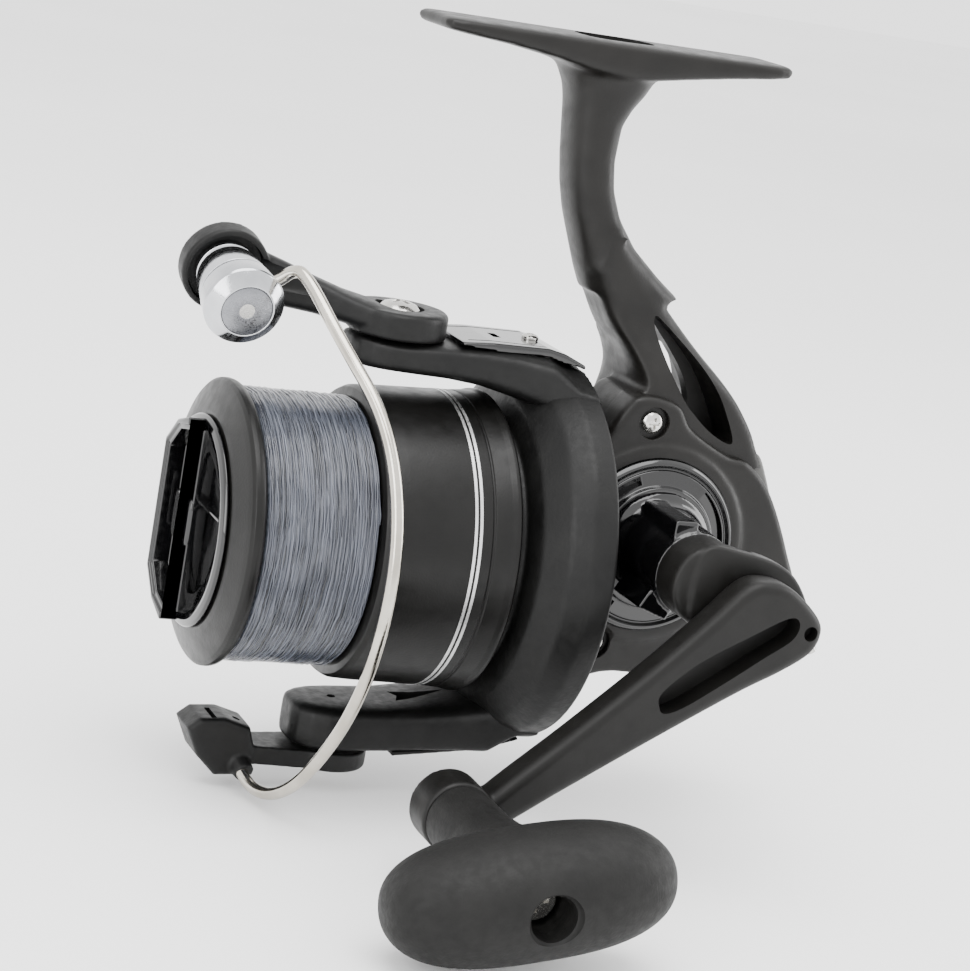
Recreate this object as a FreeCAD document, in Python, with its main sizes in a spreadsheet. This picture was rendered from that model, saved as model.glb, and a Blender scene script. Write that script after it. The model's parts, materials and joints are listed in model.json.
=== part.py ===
"""Spinning reel, front drag, fixed spool size about 3000, as a parametric assembly.

Row frame: origin at the centre of the foot's seat, +Z up to the rod, -X to the rod's tip,
the crank handle on the -Y side.  Every piece is drawn in the reel's own frame, whose X axis
is the main shaft and whose x = 0 is the rim of the spool's front flange, and is then placed.
"""
import FreeCAD, Part
import Sketcher
import math
import os

from FreeCAD import Placement, Rotation, Vector

doc = FreeCAD.newDocument("spinning_reel")

# ---------------------------------------------------------------- driving dimensions, mm
SIZES = [
    # foot, stem and body
    ("foot_length", 63.4, "reel foot, front tip to rear tip"),
    ("foot_width", 16.6, "reel foot, side to side"),
    ("foot_tip", 2.2, "thickness of the foot at its tips"),
    ("shaft_drop", 88.0, "foot seat down to the main shaft"),
    ("rim_back", 54.0, "foot centre forward to the spool's front rim"),
    ("stem_width", 12.6, "stem, side to side"),
    ("body_far", 14.0, "shaft to the far face of the body"),
    ("body_near", 14.0, "shaft to the near face of the side cover"),
    ("part_line", 6.0, "shaft to the joint between body and side cover"),
    ("wall", 1.9, "wall of the body and of the cover"),
    ("guard_thick", 1.5, "rear guard strip"),
    ("collar_radius", 10.2, "front collar of the body"),
    ("plate_radius", 26.0, "round front plate of the body"),
    # handle side
    ("gear_x", 71.7, "front rim back to the crank's axis"),
    ("gear_z", 5.3, "main shaft up to the crank's axis"),
    ("axle_radius", 3.4, "drive gear's hollow axle"),
    ("bearing_radius", 6.0, "gear bearings, outside"),
    ("bearing_width", 3.0, "gear bearings, width"),
    ("gear_radius", 15.2, "drive gear, outside"),
    ("gear_teeth", 40.0, "drive gear teeth"),
    ("pinion_teeth", 8.0, "pinion teeth"),
    ("bezel_radius", 15.2, "glossy hub plate on the cover"),
    ("bezel_depth", 2.0, "how far the hub plate stands out"),
    ("sleeve_radius", 7.6, "glossy sleeve on the handle's shank"),
    ("shank_radius", 7.0, "matte collar of the handle"),
    ("shank_end", 39.9, "shaft to the outer end of the handle's collar"),
    ("arm_thick", 6.6, "handle arm, measured along the crank's axis"),
    ("knob_x", 31.0, "front rim back to the knob's axis"),
    ("knob_z", -33.3, "main shaft down to the knob's axis"),
    ("knob_length", 46.5, "T knob, tip to tip"),
    ("knob_height", 19.5, "T knob, height of the bar"),
    ("knob_thick", 22.0, "T knob, thickness along its axis"),
    ("knob_stem", 18.4, "handle arm out to the back of the T"),
    ("knob_tilt", 10.0, "turn of the paddle about its axis, degrees"),
    # spool
    ("rim_radius", 24.0, "spool, front flange"),
    ("arbor_radius", 17.0, "spool, under the line"),
    ("line_width", 15.4, "line, between the flanges"),
    ("line_radius", 22.9, "filled line"),
    ("skirt_lip", 0.4, "rear end of the line back to the skirt"),
    ("skirt_end", 43.4, "front rim back to the end of the skirt"),
    ("skirt_radius", 26.0, "skirt at its rear end"),
    ("skirt_wall", 1.3, "skirt wall"),
    ("shaft_radius", 1.5, "main shaft"),
    ("shaft_clear", 0.05, "running clearance on the main shaft, radial"),
    ("knob_front", 10.2, "front rim forward to the drag knob's front"),
    ("drag_radius", 18.0, "drag knob, base ring"),
    ("washer_radius", 12.0, "drag washers"),
    ("washer_thick", 0.8, "each drag washer"),
    # rotor and bail
    ("lip_x", 57.5, "front rim back to the rotor's rear lip"),
    ("lip_radius", 33.0, "rotor's rear lip"),
    ("rotor_wall", 1.8, "rotor wall"),
    ("pinion_tube", 3.0, "pinion tube, outside radius"),
    ("pivot_x", 25.0, "front rim back to the bail's pivots"),
    ("arm_half", 8.4, "half width of the rotor arms"),
    ("top_seat", 34.6, "shaft up to the bail arm's seat"),
    ("ear_thick", 4.6, "bail arm's ear"),
    ("low_seat", 37.6, "shaft down to the bail lever's seat"),
    ("lever_thick", 3.4, "bail lever"),
    ("pivot_radius", 2.2, "shoulder of the bail's pivot screws"),
    ("wire_radius", 1.05, "bail wire"),
    ("roller_radius", 5.2, "line roller, at its cheeks"),
    ("roller_x", -4.5, "front rim back to the line roller"),
    ("roller_z", 40.2, "shaft up to the line roller"),
    ("roller_tilt", 15.0, "tilt of the roller's axis, degrees"),
    # fits
    ("run_clear", 0.05, "running clearance of a pin or axle, radial"),
    ("part_gap", 0.3, "gap between pieces that move past each other"),
]

sheet = doc.addObject("Spreadsheet::Sheet", "Sizes")
for row, (alias, value, note) in enumerate(SIZES, start=1):
    sheet.set(f"A{row}", alias)
    sheet.set(f"B{row}", str(value))
    sheet.setAlias(f"B{row}", alias)
    sheet.set(f"C{row}", note)
doc.recompute()


class Size:
    """A number together with the sheet formula that it comes from."""

    def __init__(self, value, text):
        self.value = value
        self.text = text

    def join(self, other, sign, value):
        text = other.text if isinstance(other, Size) else repr(float(other))
        return Size(value, f"({self.text} {sign} {text})")

    def __add__(self, other):
        return self.join(other, "+", self.value + number(other))

    def __sub__(self, other):
        return self.join(other, "-", self.value - number(other))

    def __mul__(self, other):
        return self.join(other, "*", self.value * number(other))

    def __truediv__(self, other):
        return self.join(other, "/", self.value / number(other))

    def __neg__(self):
        return Size(-self.value, f"(0 - {self.text})")

    def __radd__(self, other):
        return self + other

    def __rmul__(self, other):
        return self * other

    def __rsub__(self, other):
        return -self + other


def number(size):
    return size.value if isinstance(size, Size) else float(size)


def size(alias):
    return Size(float(getattr(sheet, alias)), f"Sizes.{alias}")


def bind(thing, path, value):
    """Ties one property of a feature to the sheet."""
    if isinstance(value, Size):
        thing.setExpression(path, value.text)


# ---------------------------------------------------------------- sketches and features
pieces = []
PLANES = {"XY": "XY_Plane", "XZ": "XZ_Plane", "YZ": "YZ_Plane"}


def place(thing, at, turn=None):
    thing.Placement = Placement(Vector(*[number(v) for v in at]), turn or Rotation())
    for axis, value in zip("xyz", at):
        bind(thing, f"Placement.Base.{axis}", value)


def new_body(name, at=None, turn=None):
    body = doc.addObject("PartDesign::Body", name)
    body.Label = name
    place(body, at or REEL, turn)
    pieces.append(body)
    return body


def origin_plane(body, plane):
    return next(f for f in body.Origin.OriginFeatures if f.Role == PLANES[plane])


def fix_point(sk, geometry, end, point, rules, ties):
    """Holds one end of a sketch line at a point measured from the sketch's origin."""
    for kind, axis_line, value in (("DistanceX", -2, point[0]), ("DistanceY", -1, point[1])):
        if not isinstance(value, Size) and abs(value) < 1e-9:
            rules.append(Sketcher.Constraint("PointOnObject", geometry, end, axis_line))
            continue
        rules.append(Sketcher.Constraint(kind, -1, 1, geometry, end, number(value)))
        if isinstance(value, Size):
            ties.append((len(rules) - 1, value.text))


def sketch(body, plane, loops, lift=0.0):
    """A sketch of closed outlines: ("circle", centre, radius) or a list of corners."""
    sk = body.newObject("Sketcher::SketchObject", f"{body.Name}_outline")
    sk.AttachmentSupport = [(origin_plane(body, plane), "")]
    sk.MapMode = "FlatFace"
    sk.AttachmentOffset = Placement(Vector(0, 0, number(lift)), Rotation())
    bind(sk, "AttachmentOffset.Base.z", lift)
    shapes, rules, ties = [], [], []
    for loop in loops:
        first = len(shapes)
        if loop[0] == "circle":
            centre, radius = loop[1], loop[2]
            middle = Vector(number(centre[0]), number(centre[1]), 0)
            shapes.append(Part.Circle(middle, Vector(0, 0, 1), number(radius)))
            fix_point(sk, first, 3, centre, rules, ties)
            rules.append(Sketcher.Constraint("Radius", first, number(radius)))
            if isinstance(radius, Size):
                ties.append((len(rules) - 1, radius.text))
            continue
        corners = [Vector(number(x), number(y), 0) for x, y in loop]
        count = len(corners)
        for i in range(count):
            shapes.append(Part.LineSegment(corners[i], corners[(i + 1) % count]))
            rules.append(Sketcher.Constraint("Coincident", first + i, 2,
                                             first + (i + 1) % count, 1))
        for i in range(count):
            fix_point(sk, first + i, 1, loop[i], rules, ties)
    sk.addGeometry(shapes, False)
    sk.addConstraint(rules)
    for index, text in ties:
        sk.setExpression(f"Constraints[{index}]", text)
    return sk


def turned(body, loop, plane="XZ", about="H_Axis", cut=False):
    """Revolution or Groove of a half section about one of the sketch's axes."""
    kind = "PartDesign::Groove" if cut else "PartDesign::Revolution"
    sk = sketch(body, plane, [loop])
    feature = body.newObject(kind, f"{body.Name}_turned")
    feature.Profile = sk
    feature.ReferenceAxis = (sk, [about])
    feature.Angle = 360.0
    return feature


def block(body, plane, loops, start, length, cut=False):
    """Pad or Pocket that runs from `start` along the plane's normal: +Z, -Y or +X."""
    before = None
    if cut:
        doc.recompute()
        before = body.Shape.Volume
    sk = sketch(body, plane, loops, start)
    feature = body.newObject("PartDesign::Pocket" if cut else "PartDesign::Pad",
                             f"{body.Name}_{'cut' if cut else 'pad'}")
    feature.Profile = sk
    feature.Length = number(length)
    bind(feature, "Length", length)
    feature.Reversed = cut
    if cut:
        doc.recompute()
        assert body.Shape.Volume < before - 1e-6, f"{body.Name}: a pocket cuts nothing"
    return feature


def rounded(body, radius, wanted):
    """Fillet on the edges of the tip that `wanted` picks."""
    doc.recompute()
    tip = body.Tip
    names = [f"Edge{i}" for i, edge in enumerate(tip.Shape.Edges, start=1) if wanted(edge)]
    assert names, f"{body.Name}: no edge to round"
    fillet = body.newObject("PartDesign::Fillet", f"{body.Name}_round")
    fillet.Base = (tip, names)
    fillet.Radius = number(radius)
    bind(fillet, "Radius", radius)


def along(axis, test=None):
    """Picks straight edges that run along an axis, and whose middle passes a test."""
    def wanted(edge):
        if edge.Curve.TypeId != "Part::GeomLine":
            return False
        straight = abs(edge.tangentAt(edge.FirstParameter).dot(axis)) > 0.999
        return straight and (test is None or test(edge.CenterOfMass))
    return wanted


def polar(body, feature, count, axis):
    pattern = body.newObject("PartDesign::PolarPattern", f"{body.Name}_pattern")
    pattern.Originals = [feature]
    pattern.Axis = (feature.Profile[0], [axis])
    pattern.Angle = 360.0
    pattern.Occurrences = int(number(count))
    bind(pattern, "Occurrences", count)
    body.Tip = pattern
    return pattern


def cylinder(radius, length, at, axis, name="rod"):
    """Part::Cylinder from `at` along an axis; a hidden building block."""
    rod = doc.addObject("Part::Cylinder", name)
    rod.Radius = number(radius)
    bind(rod, "Radius", radius)
    rod.Height = number(length)
    bind(rod, "Height", length)
    place(rod, at, Rotation(Vector(0, 0, 1), axis))
    return rod


def combine(kind, first, second, name="joined"):
    made = doc.addObject(f"Part::{kind}", name)
    made.Base = first
    made.Tool = second
    return made


def group(name, members):
    made = doc.addObject("Part::Compound", name)
    made.Label = name
    made.Links = members
    pieces.append(made)
    return made


def keep(thing, name):
    thing.Label = name
    pieces.append(thing)
    return thing


def ring(outer, inner, length, at, axis):
    """A flat ring or tube made of two cylinders."""
    return combine("Cut", cylinder(outer, length, at, axis),
                   cylinder(inner, length, at, axis), "ring")


def screw(at, axis, head_radius, head, shank_radius, shank):
    """Pan head screw with a cross recess; `at` is under its head, `axis` points outwards."""
    inward = Vector(-axis.x, -axis.y, -axis.z)
    body = combine("Fuse", cylinder(head_radius, head, at, axis),
                   cylinder(shank_radius, shank, at, inward), "screw_blank")
    turn = Rotation(Vector(0, 0, 1), axis)
    for angle in (0, 90):
        slot = doc.addObject("Part::Box", "recess")
        slot.Length = number(head_radius) * 1.3
        slot.Width = number(head_radius) * 0.3
        slot.Height = number(head)
        step = Placement(Vector(-slot.Length.Value / 2, -slot.Width.Value / 2,
                                number(head) * 0.5), Rotation())
        spin = Placement(Vector(), Rotation(Vector(0, 0, 1), angle))
        base = Placement(Vector(*[number(v) for v in at]), turn)
        slot.Placement = base.multiply(spin.multiply(step))
        for k, letter in enumerate("xyz"):
            offset = (slot.Placement.Base - base.Base)[k]
            bind(slot, f"Placement.Base.{letter}", at[k] + offset)
        body = combine("Cut", body, slot, "screw_slotted")
    return body



X, Y, Z = Vector(1, 0, 0), Vector(0, 1, 0), Vector(0, 0, 1)
NEAR = Vector(0, -1, 0)

rim = -size("rim_back")
drop = -size("shaft_drop")
REEL = (rim, 0.0, drop)
CRANK = (rim + size("gear_x"), 0.0, size("gear_z") + drop)
KNOB = (rim + size("knob_x"), 0.0, size("knob_z") + drop)
PIVOT = (rim + size("pivot_x"), 0.0, drop)
gap = size("part_gap")
run = size("run_clear")


def reel_point(x, y, z):
    """A point of the reel's frame, in the row's frame."""
    return (rim + x, y, drop + z)


# ================================================================ fixed body
def body_outline(edge):
    """Side view of the wide part of the body, `edge` inside its outer face."""
    return [(56.0, -17.5 + edge), (86.0 - edge * 0.3, -18.3 + edge), (99.0 - edge * 0.7, -14.0 + edge),
            (105.6 - edge, -2.4), (102.6 - edge, 6.0), (97.0 - edge, 16.0 - edge * 0.2),
            (89.5 - edge * 0.8, 20.8 - edge * 0.7), (84.5, 21.6 - edge), (76.4 - edge * 0.5, 25.6 - edge),
            (73.0 - edge * 0.5, 29.6 - edge), (66.0, 30.6 - edge), (63.2, 28.3 - edge),
            (60.0, 22.4 - edge), (56.0, 19.0 - edge)]


def far_outline(edge):
    """Side view of the body's far half, which is lower behind the rotor."""
    return body_outline(edge)[:6] + [(89.5 - edge * 0.8, 20.8 - edge * 0.7), (80.0, 21.4 - edge),
                                     (70.5, 19.5 - edge), (60.0, 17.0 - edge), (56.0, 16.5 - edge)]


SCREW_HOLES = [(68.6, 26.2), (65.2, -13.0), (88.0, -14.9)]
SCREW_HEAD = 1.95
SCREW_SHANK = 1.0
CLUTCH_RADIUS = 8.4
BEARING_SEAT = 7.0

far = size("body_far")
near = size("body_near")
line = size("part_line")
wall = size("wall")
seat = size("shaft_drop")
half_stem = size("stem_width") / 2
half_foot = size("foot_width") / 2
foot_front = size("rim_back") - size("foot_length") / 2
foot_rear = size("rim_back") + size("foot_length") / 2


GEAR_ROOM = 2.0
GUARD_HALF = 7.0
PLATE_FRONT = 53.6
COLLAR_FRONT = 43.2
BOSS = 2.6
HEAD_SINK = 1.2
HUB_RISE = 1.4
ROD_Z = -9.0
ROD_RADIUS = 1.0
LEVER_X = 69.4
LEVER_STEM = 1.6
SLEEVE = 4.6
STUD = 2.0
OSC_X = 85.2
OSC_ROOT = 3.8
TOOTH = 0.22
GEAR_PHASE = 9.6
AXLE_BORE = 2.4
CAP_THREAD = 1.5
FOLD_X = 88.0
FOLD_Z = 1.0
FOLD_ANGLE = math.radians(36.0)
FOLD_PIN = 1.0
KNUCKLE = 2.4
RIVET = 2.2
BUSH = 3.4
KNOB_NECK = 5.6
KNOB_WELL = 9.0
KNOB_SCREW = 30.2
PIVOT_THREAD = 1.4
HEAD_WELL = 1.6
COVER_SCREW = 49.4
PINION_ROOT = 2.2
PINION_TIP = 3.3
PINION_END = 66.0
ROLLER_PIN = 1.6
SEAT_PIN_X = 25.3


def rim_edges(nearness):
    """Picks the edges that lie in one plane square to Y; nearness is counted towards -Y."""
    return lambda e: all(abs(v.Point.y + number(nearness)) < 0.01 for v in e.Vertexes)


def cavity_outline():
    """Side view of the space inside the body, one wall inside its outline."""
    inside = body_outline(1.9)
    inside[0] = (55.6, -15.6)
    inside[6:] = [(88.0, 19.4), (84.5, 19.4), (76.0, 21.0), (66.0, 21.0), (61.4, 20.0), (55.6, 15.0)]
    return inside


def far_cavity_outline():
    inside = far_outline(1.9)
    inside[0], inside[-1] = (55.6, -15.6), (55.6, 14.6)
    return inside


def make_housing():
    body = new_body("body_housing")
    # the foot: flat seat, thin at both tips
    tip = size("foot_tip")
    foot = [(foot_front, seat), (foot_rear, seat), (foot_rear, seat - tip),
            (foot_rear - 18.0, seat - tip - 0.7), (61.5, seat - 8.0), (48.2, seat - 8.5),
            (42.0, seat - 4.4), (foot_front + 10.0, seat - tip - 0.6), (foot_front, seat - tip)]
    block(body, "XZ", [foot], -half_foot, half_foot * 2)
    rounded(body, 3.0, along(Z))
    # the stem, and the strut behind it that leaves a three-cornered opening
    stem = [(48.4, seat - 6.0), (61.6, seat - 6.0), (58.2, 77.0), (57.5, 73.0), (57.6, 66.0),
            (60.2, 58.4), (64.0, 53.7), (69.2, 49.0), (74.8, 44.4), (81.0, 38.7), (86.6, 33.9),
            (90.9, 29.2), (94.0, 24.0), (97.4, 15.4), (90.0, 4.0), (62.0, 4.0), (60.0, 18.4),
            (64.6, 22.9), (66.9, 27.6), (67.0, 32.1), (64.9, 36.4), (61.4, 41.3), (57.4, 48.0),
            (54.2, 54.6), (52.0, 61.3), (50.4, 68.0), (49.2, 74.7)]
    opening = [(69.3, 43.0), (72.8, 40.6), (80.6, 32.2), (80.9, 27.6), (76.6, 31.4), (72.4, 36.4)]
    block(body, "XZ", [stem], -half_stem, half_stem * 2)
    # the wide part: from the far face to the joint with the side cover
    block(body, "XZ", [body_outline(0.0)], -GEAR_ROOM, GEAR_ROOM + line)
    block(body, "XZ", [far_outline(0.0)], -far, far + line)
    rounded(body, 2.2, rim_edges(-far))
    # round front plate and collar, ahead of the rotor's rear opening
    block(body, "YZ", [("circle", (0.0, 0.0), size("plate_radius"))], PLATE_FRONT, 2.6)
    block(body, "YZ", [("circle", (0.0, 0.0), size("collar_radius"))], COLLAR_FRONT, 10.6)
    block(body, "XZ", [opening], -half_stem - 0.1, half_stem * 2 + 0.2, cut=True)
    # the cavity for the gears, open towards the side cover
    block(body, "XZ", [cavity_outline()], 0.0, line + 0.1, cut=True)
    block(body, "XZ", [far_cavity_outline()], -(far - wall), far - wall + 0.1, cut=True)
    # the cover's own space, so that stem and front plate stop at the joint
    block(body, "XZ", [body_outline(-0.05)], line, near + 12.0 - line, cut=True)
    # seats of the one-way clutch and of the main bearing, and the pinion's way in
    block(body, "YZ", [("circle", (0.0, 0.0), CLUTCH_RADIUS)], COLLAR_FRONT - 0.1, 6.9, cut=True)
    block(body, "YZ", [("circle", (0.0, 0.0), BEARING_SEAT)], 49.9, 4.1, cut=True)
    block(body, "YZ", [("circle", (0.0, 0.0), 5.0)], 53.9, 2.0, cut=True)
    # far bearing's seat, right through the far wall
    hole = ("circle", (size("gear_x"), size("gear_z")), size("bearing_radius"))
    block(body, "XZ", [hole], -far - 0.5, wall + 1.0, cut=True)
    # bosses that the cover's screws bite into
    for (x, z), depth in zip(SCREW_HOLES, (half_stem, far - wall, far - wall)):
        block(body, "XZ", [("circle", (x, z), BOSS)], -depth, depth + line)
        block(body, "XZ", [("circle", (x, z), SCREW_SHANK)], line - 7.0, 7.1, cut=True)
    # guide rod's rear seat, and the anti-reverse lever's stem through the bottom
    block(body, "YZ", [("circle", (0.0, ROD_Z), ROD_RADIUS)], 97.0, 4.0, cut=True)
    block(body, "XY", [("circle", (LEVER_X, 0.0), LEVER_STEM + run)], -19.0, 4.5, cut=True)


def make_cover():
    body = new_body("side_cover")
    block(body, "XZ", [body_outline(0.0)], line, near - line)
    rounded(body, 2.2, rim_edges(near))
    inside = cavity_outline()
    inside[0], inside[-1] = (58.0, -15.6), (58.0, 17.0)
    block(body, "XZ", [inside], line - 0.1, near - wall - line + 0.1, cut=True)
    axis = (size("gear_x"), size("gear_z"))
    block(body, "XZ", [("circle", axis, size("bearing_radius") + 1.9)], near - wall, wall + HUB_RISE)
    block(body, "XZ", [("circle", axis, size("bearing_radius"))], near - wall - 0.1,
          wall + HUB_RISE + 0.2, cut=True)
    for x, z in SCREW_HOLES:
        block(body, "XZ", [("circle", (x, z), BOSS + 0.9)], line, near - wall - line)
        block(body, "XZ", [("circle", (x, z), SCREW_SHANK + 0.2)], line - 0.1, near - line + 0.2, cut=True)
        block(body, "XZ", [("circle", (x, z), BOSS)], near - HEAD_SINK, HEAD_SINK + 0.1, cut=True)


def make_guard():
    body = new_body("rear_guard")
    t = size("guard_thick")
    strip = [(94.2, 24.0), (97.7, 15.5), (102.6, 6.0), (105.6, -2.4), (105.6 + t, -2.4 + t * 0.3),
             (102.6 + t, 6.0 + t * 0.5), (97.7 + t, 15.5 + t * 0.6), (94.2 + t, 24.0 + t * 0.7)]
    block(body, "XZ", [strip], -GUARD_HALF, GUARD_HALF * 2)


def make_fixed_parts():
    """Bearings, clutch, plates, rod, stud and screws that stay with the body."""
    axis = (rim + size("gear_x"), -(near - wall), drop + size("gear_z"))
    bore = size("axle_radius") + run
    width = size("bearing_width")
    keep(ring(size("bearing_radius"), bore, width, axis, NEAR), "near_gear_bearing")
    axis = (axis[0], far - width, axis[2])
    keep(ring(size("bearing_radius"), bore, width, axis, Y), "far_gear_bearing")
    keep(ring(BEARING_SEAT, size("pinion_tube") + run, 4.0, reel_point(50.0, 0.0, 0.0), X), "main_bearing")
    keep(ring(CLUTCH_RADIUS, SLEEVE + run, 6.2, reel_point(43.8, 0.0, 0.0), X), "one_way_clutch")
    plate = ring(size("collar_radius"), SLEEVE + 0.8, 0.8, reel_point(42.4, 0.0, 0.0), X)
    keep(plate, "clutch_retainer")
    bezel = new_body("hub_plate", CRANK)
    r, d = size("bezel_radius"), size("bezel_depth")
    inner = size("bearing_radius") + 1.9
    turned(bezel, [(inner, -near), (r, -near), (r, -near - d + 0.6), (r - 0.8, -near - d),
                   (r - 4.4, -near - d), (r - 5.0, -near - d - 1.0), (inner, -near - d - 1.0)],
           "XY", "V_Axis")
    rod = cylinder(ROD_RADIUS, 45.4, reel_point(55.6, 0.0, ROD_Z), X)
    keep(rod, "guide_rod")
    keep(cylinder(STUD, far - wall - 3.6, (rim + OSC_X, 3.6, drop + size("gear_z")), Y), "oscillation_stud")
    screws = [screw(reel_point(x, -(near - HEAD_SINK), z), NEAR, 1.95, 1.5, SCREW_SHANK, 12.0)
              for x, z in SCREW_HOLES]
    group("cover_screws", screws)


# ================================================================ crank
def make_crank():
    gear = new_body("drive_gear", CRANK)
    axle, r = size("axle_radius"), size("gear_radius")
    turned(gear, [(axle, -5.8), (r, -5.8), (r, -4.0), (axle + 1.2, -4.0), (axle + 1.2, -2.7), (axle, -2.7)],
           "XY", "V_Axis")
    phase = math.radians(GEAR_PHASE)
    cs, sn = math.cos(phase), math.sin(phase)

    def tooth_point(radius, side):
        return (radius * cs + -side * sn, radius * sn + side * cs)
    tooth = [tooth_point(r - 2.0, -TOOTH), tooth_point(r - 0.2, -TOOTH), tooth_point(r - 0.2, TOOTH),
             tooth_point(r - 2.0, TOOTH)]
    pad = block(gear, "XZ", [tooth], 2.95, 1.15)
    polar(gear, pad, size("gear_teeth"), "N_Axis")

    tube = new_body("gear_axle", CRANK)
    turned(tube, [(AXLE_BORE, -(near + 3.0)), (axle, -(near + 3.0)), (axle, 3.8), (OSC_ROOT, 3.8),
                  (OSC_ROOT, 6.2), (axle, 6.2), (axle, far - 0.2), (AXLE_BORE, far - 0.2)], "XY", "V_Axis")
    add_spur(tube, OSC_ROOT, OSC_ROOT + 1.2, 0.42, 12, -6.2, 2.4, 0.0)

    sleeve = new_body("shank_sleeve", CRANK)
    s = size("sleeve_radius")
    turned(sleeve, [(AXLE_BORE, -(near + 3.2)), (s, -(near + 3.2)), (s - 0.5, -29.8), (AXLE_BORE, -29.8)],
           "XY", "V_Axis")

    shank = new_body("shank_blank", CRANK)
    end = size("shank_end")
    c = size("shank_radius")
    turned(shank, [(0.0, -end), (c, -end), (c, -29.8), (AXLE_BORE, -29.8), (AXLE_BORE, 12.0),
                   (CAP_THREAD, 12.0), (CAP_THREAD, 4.0), (0.0, 4.0)], "XY", "V_Axis")
    lug = [(-3.0, -6.2), (-3.0, 6.0), (5.0, 6.2), (13.6, 3.6), (16.6, -2.2), (20.0, -6.4),
           (16.0, -8.6), (6.0, -7.4)]
    block(shank, "XZ", [lug], end - 2.6, 2.6)
    middle = fold_rod(2.8, 5.4, -2.7)
    shank_cut = combine("Cut", shank_knuckles(shank), middle, "shank_slotted")
    shank_bored = combine("Cut", shank_cut, fold_rod(FOLD_PIN, 16.0, -8.0), "shank_bored")
    pieces.remove(shank)
    keep(shank_bored, "handle_shank")
    keep(fold_rod(FOLD_PIN, 13.0, -6.5), "fold_pin")

    cap = new_body("shank_cap", CRANK)
    turned(cap, [(0.0, 4.2), (CAP_THREAD, 4.2), (CAP_THREAD, far + 0.3), (6.8, far + 0.3), (6.8, far + 1.7),
                 (5.4, far + 2.8), (0.0, far + 2.8)], "XY", "V_Axis")


def fold_rod(radius, length, start):
    """A rod along the fold's axis, which lies square to the arm in the crank's plane."""
    axis = Vector(-math.sin(FOLD_ANGLE), 0.0, math.cos(FOLD_ANGLE))
    at = (rim + FOLD_X + axis.x * start, -(size("shank_end") + 0.15), drop + FOLD_Z + axis.z * start)
    return cylinder(radius, length, at, axis)


def shank_knuckles(shank):
    made = combine("Fuse", shank, fold_rod(KNUCKLE, 4.0, -6.6), "shank_knuckle")
    return combine("Fuse", made, fold_rod(KNUCKLE, 4.0, 2.6), "shank_knuckles")


def make_arm():
    arm = new_body("arm_blank")
    start = size("shank_end") + gap
    thick = size("arm_thick")
    outline = [(35.5, -29.6), (68.6, 0.6), (75.2, 7.4), (82.4, 7.2), (89.6, 0.6), (88.4, -3.0),
               (83.4, -6.6), (76.6, -10.4), (63.5, -18.8), (48.7, -28.4), (38.4, -35.0)]
    block(arm, "XZ", [outline], start, thick)
    kx, kz = size("knob_x"), size("knob_z")
    block(arm, "XZ", [("circle", (kx, kz), 6.0)], start, thick)
    block(arm, "XZ", [("circle", (kx, kz), RIVET)], start - 0.1, thick + 0.2, cut=True)
    made = combine("Cut", arm, fold_rod(KNUCKLE + 0.4, 5.0, -7.3), "arm_cleared")
    made = combine("Cut", made, fold_rod(KNUCKLE + 0.4, 5.0, 2.3), "arm_cleared")
    made = combine("Fuse", made, fold_rod(KNUCKLE, 4.4, -2.2), "arm_knuckle")
    made = combine("Cut", made, fold_rod(number(run) + FOLD_PIN, 16.0, -8.0), "arm_bored")
    pieces.remove(arm)
    keep(made, "handle_arm")

    out = start + thick
    keep(cylinder(RIVET, out + KNOB_SCREW - start, (KNOB[0], -start, KNOB[2]), NEAR), "knob_rivet")
    knob = new_body("handle_knob", KNOB, Rotation(Y, -number(size("knob_tilt"))))
    half, tall, deep = size("knob_length") / 2, size("knob_height") / 2, size("knob_thick")
    paddle = [(-half, -3.0), (-half + 3.0, -7.0), (-half + 10.0, -tall), (half - 10.0, -tall),
              (half - 3.0, -7.0), (half, -3.0), (half, 3.0), (half - 3.0, 7.0), (half - 10.0, tall),
              (-half + 10.0, tall), (-half + 3.0, 7.0), (-half, 3.0)]
    front = out + size("knob_stem")
    block(knob, "XZ", [paddle], front, deep)
    rounded(knob, 5.6, lambda e: abs(e.CenterOfMass.y + number(front)) < 0.01
            or abs(e.CenterOfMass.y + number(front + deep)) < 0.01)
    block(knob, "XZ", [("circle", (0.0, 0.0), KNOB_NECK)], out + gap, size("knob_stem") + 4.0)
    block(knob, "XZ", [("circle", (0.0, 0.0), 3.8)], front + deep - KNOB_WELL, KNOB_WELL + 0.2, cut=True)
    bush_run = front + deep - KNOB_WELL - out
    block(knob, "XZ", [("circle", (0.0, 0.0), BUSH)], out + gap - 0.1, bush_run, cut=True)
    bushes = [ring(BUSH, RIVET + run, 3.0, (KNOB[0], -(out + s), KNOB[2]), NEAR) for s in (gap, 26.0)]
    group("knob_bushes", bushes)
    keep(screw((KNOB[0], -(out + KNOB_SCREW + 0.2), KNOB[2]), NEAR, 3.2, 1.6, 1.1, 0.2), "knob_screw")


# ================================================================ rotor
def hexagon(radius):
    corners = [math.radians(60 * k) for k in range(6)]
    return [(radius * math.cos(turn), radius * math.sin(turn)) for turn in corners]


def add_spur(body, root, tip, half, count, start, length, phase, plane="XZ"):
    """Straight teeth round the sketch's normal."""
    cs, sn = math.cos(math.radians(phase)), math.sin(math.radians(phase))
    flank = [(root - 0.3, half * 1.5), (tip, half * 0.7)]
    flanks = [(radius, -side) for radius, side in flank] + flank[::-1]
    corners = [(radius * cs - side * sn, radius * sn + side * cs) for radius, side in flanks]
    pad = block(body, plane, [corners], start, length)
    return polar(body, pad, count, "N_Axis")


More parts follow.
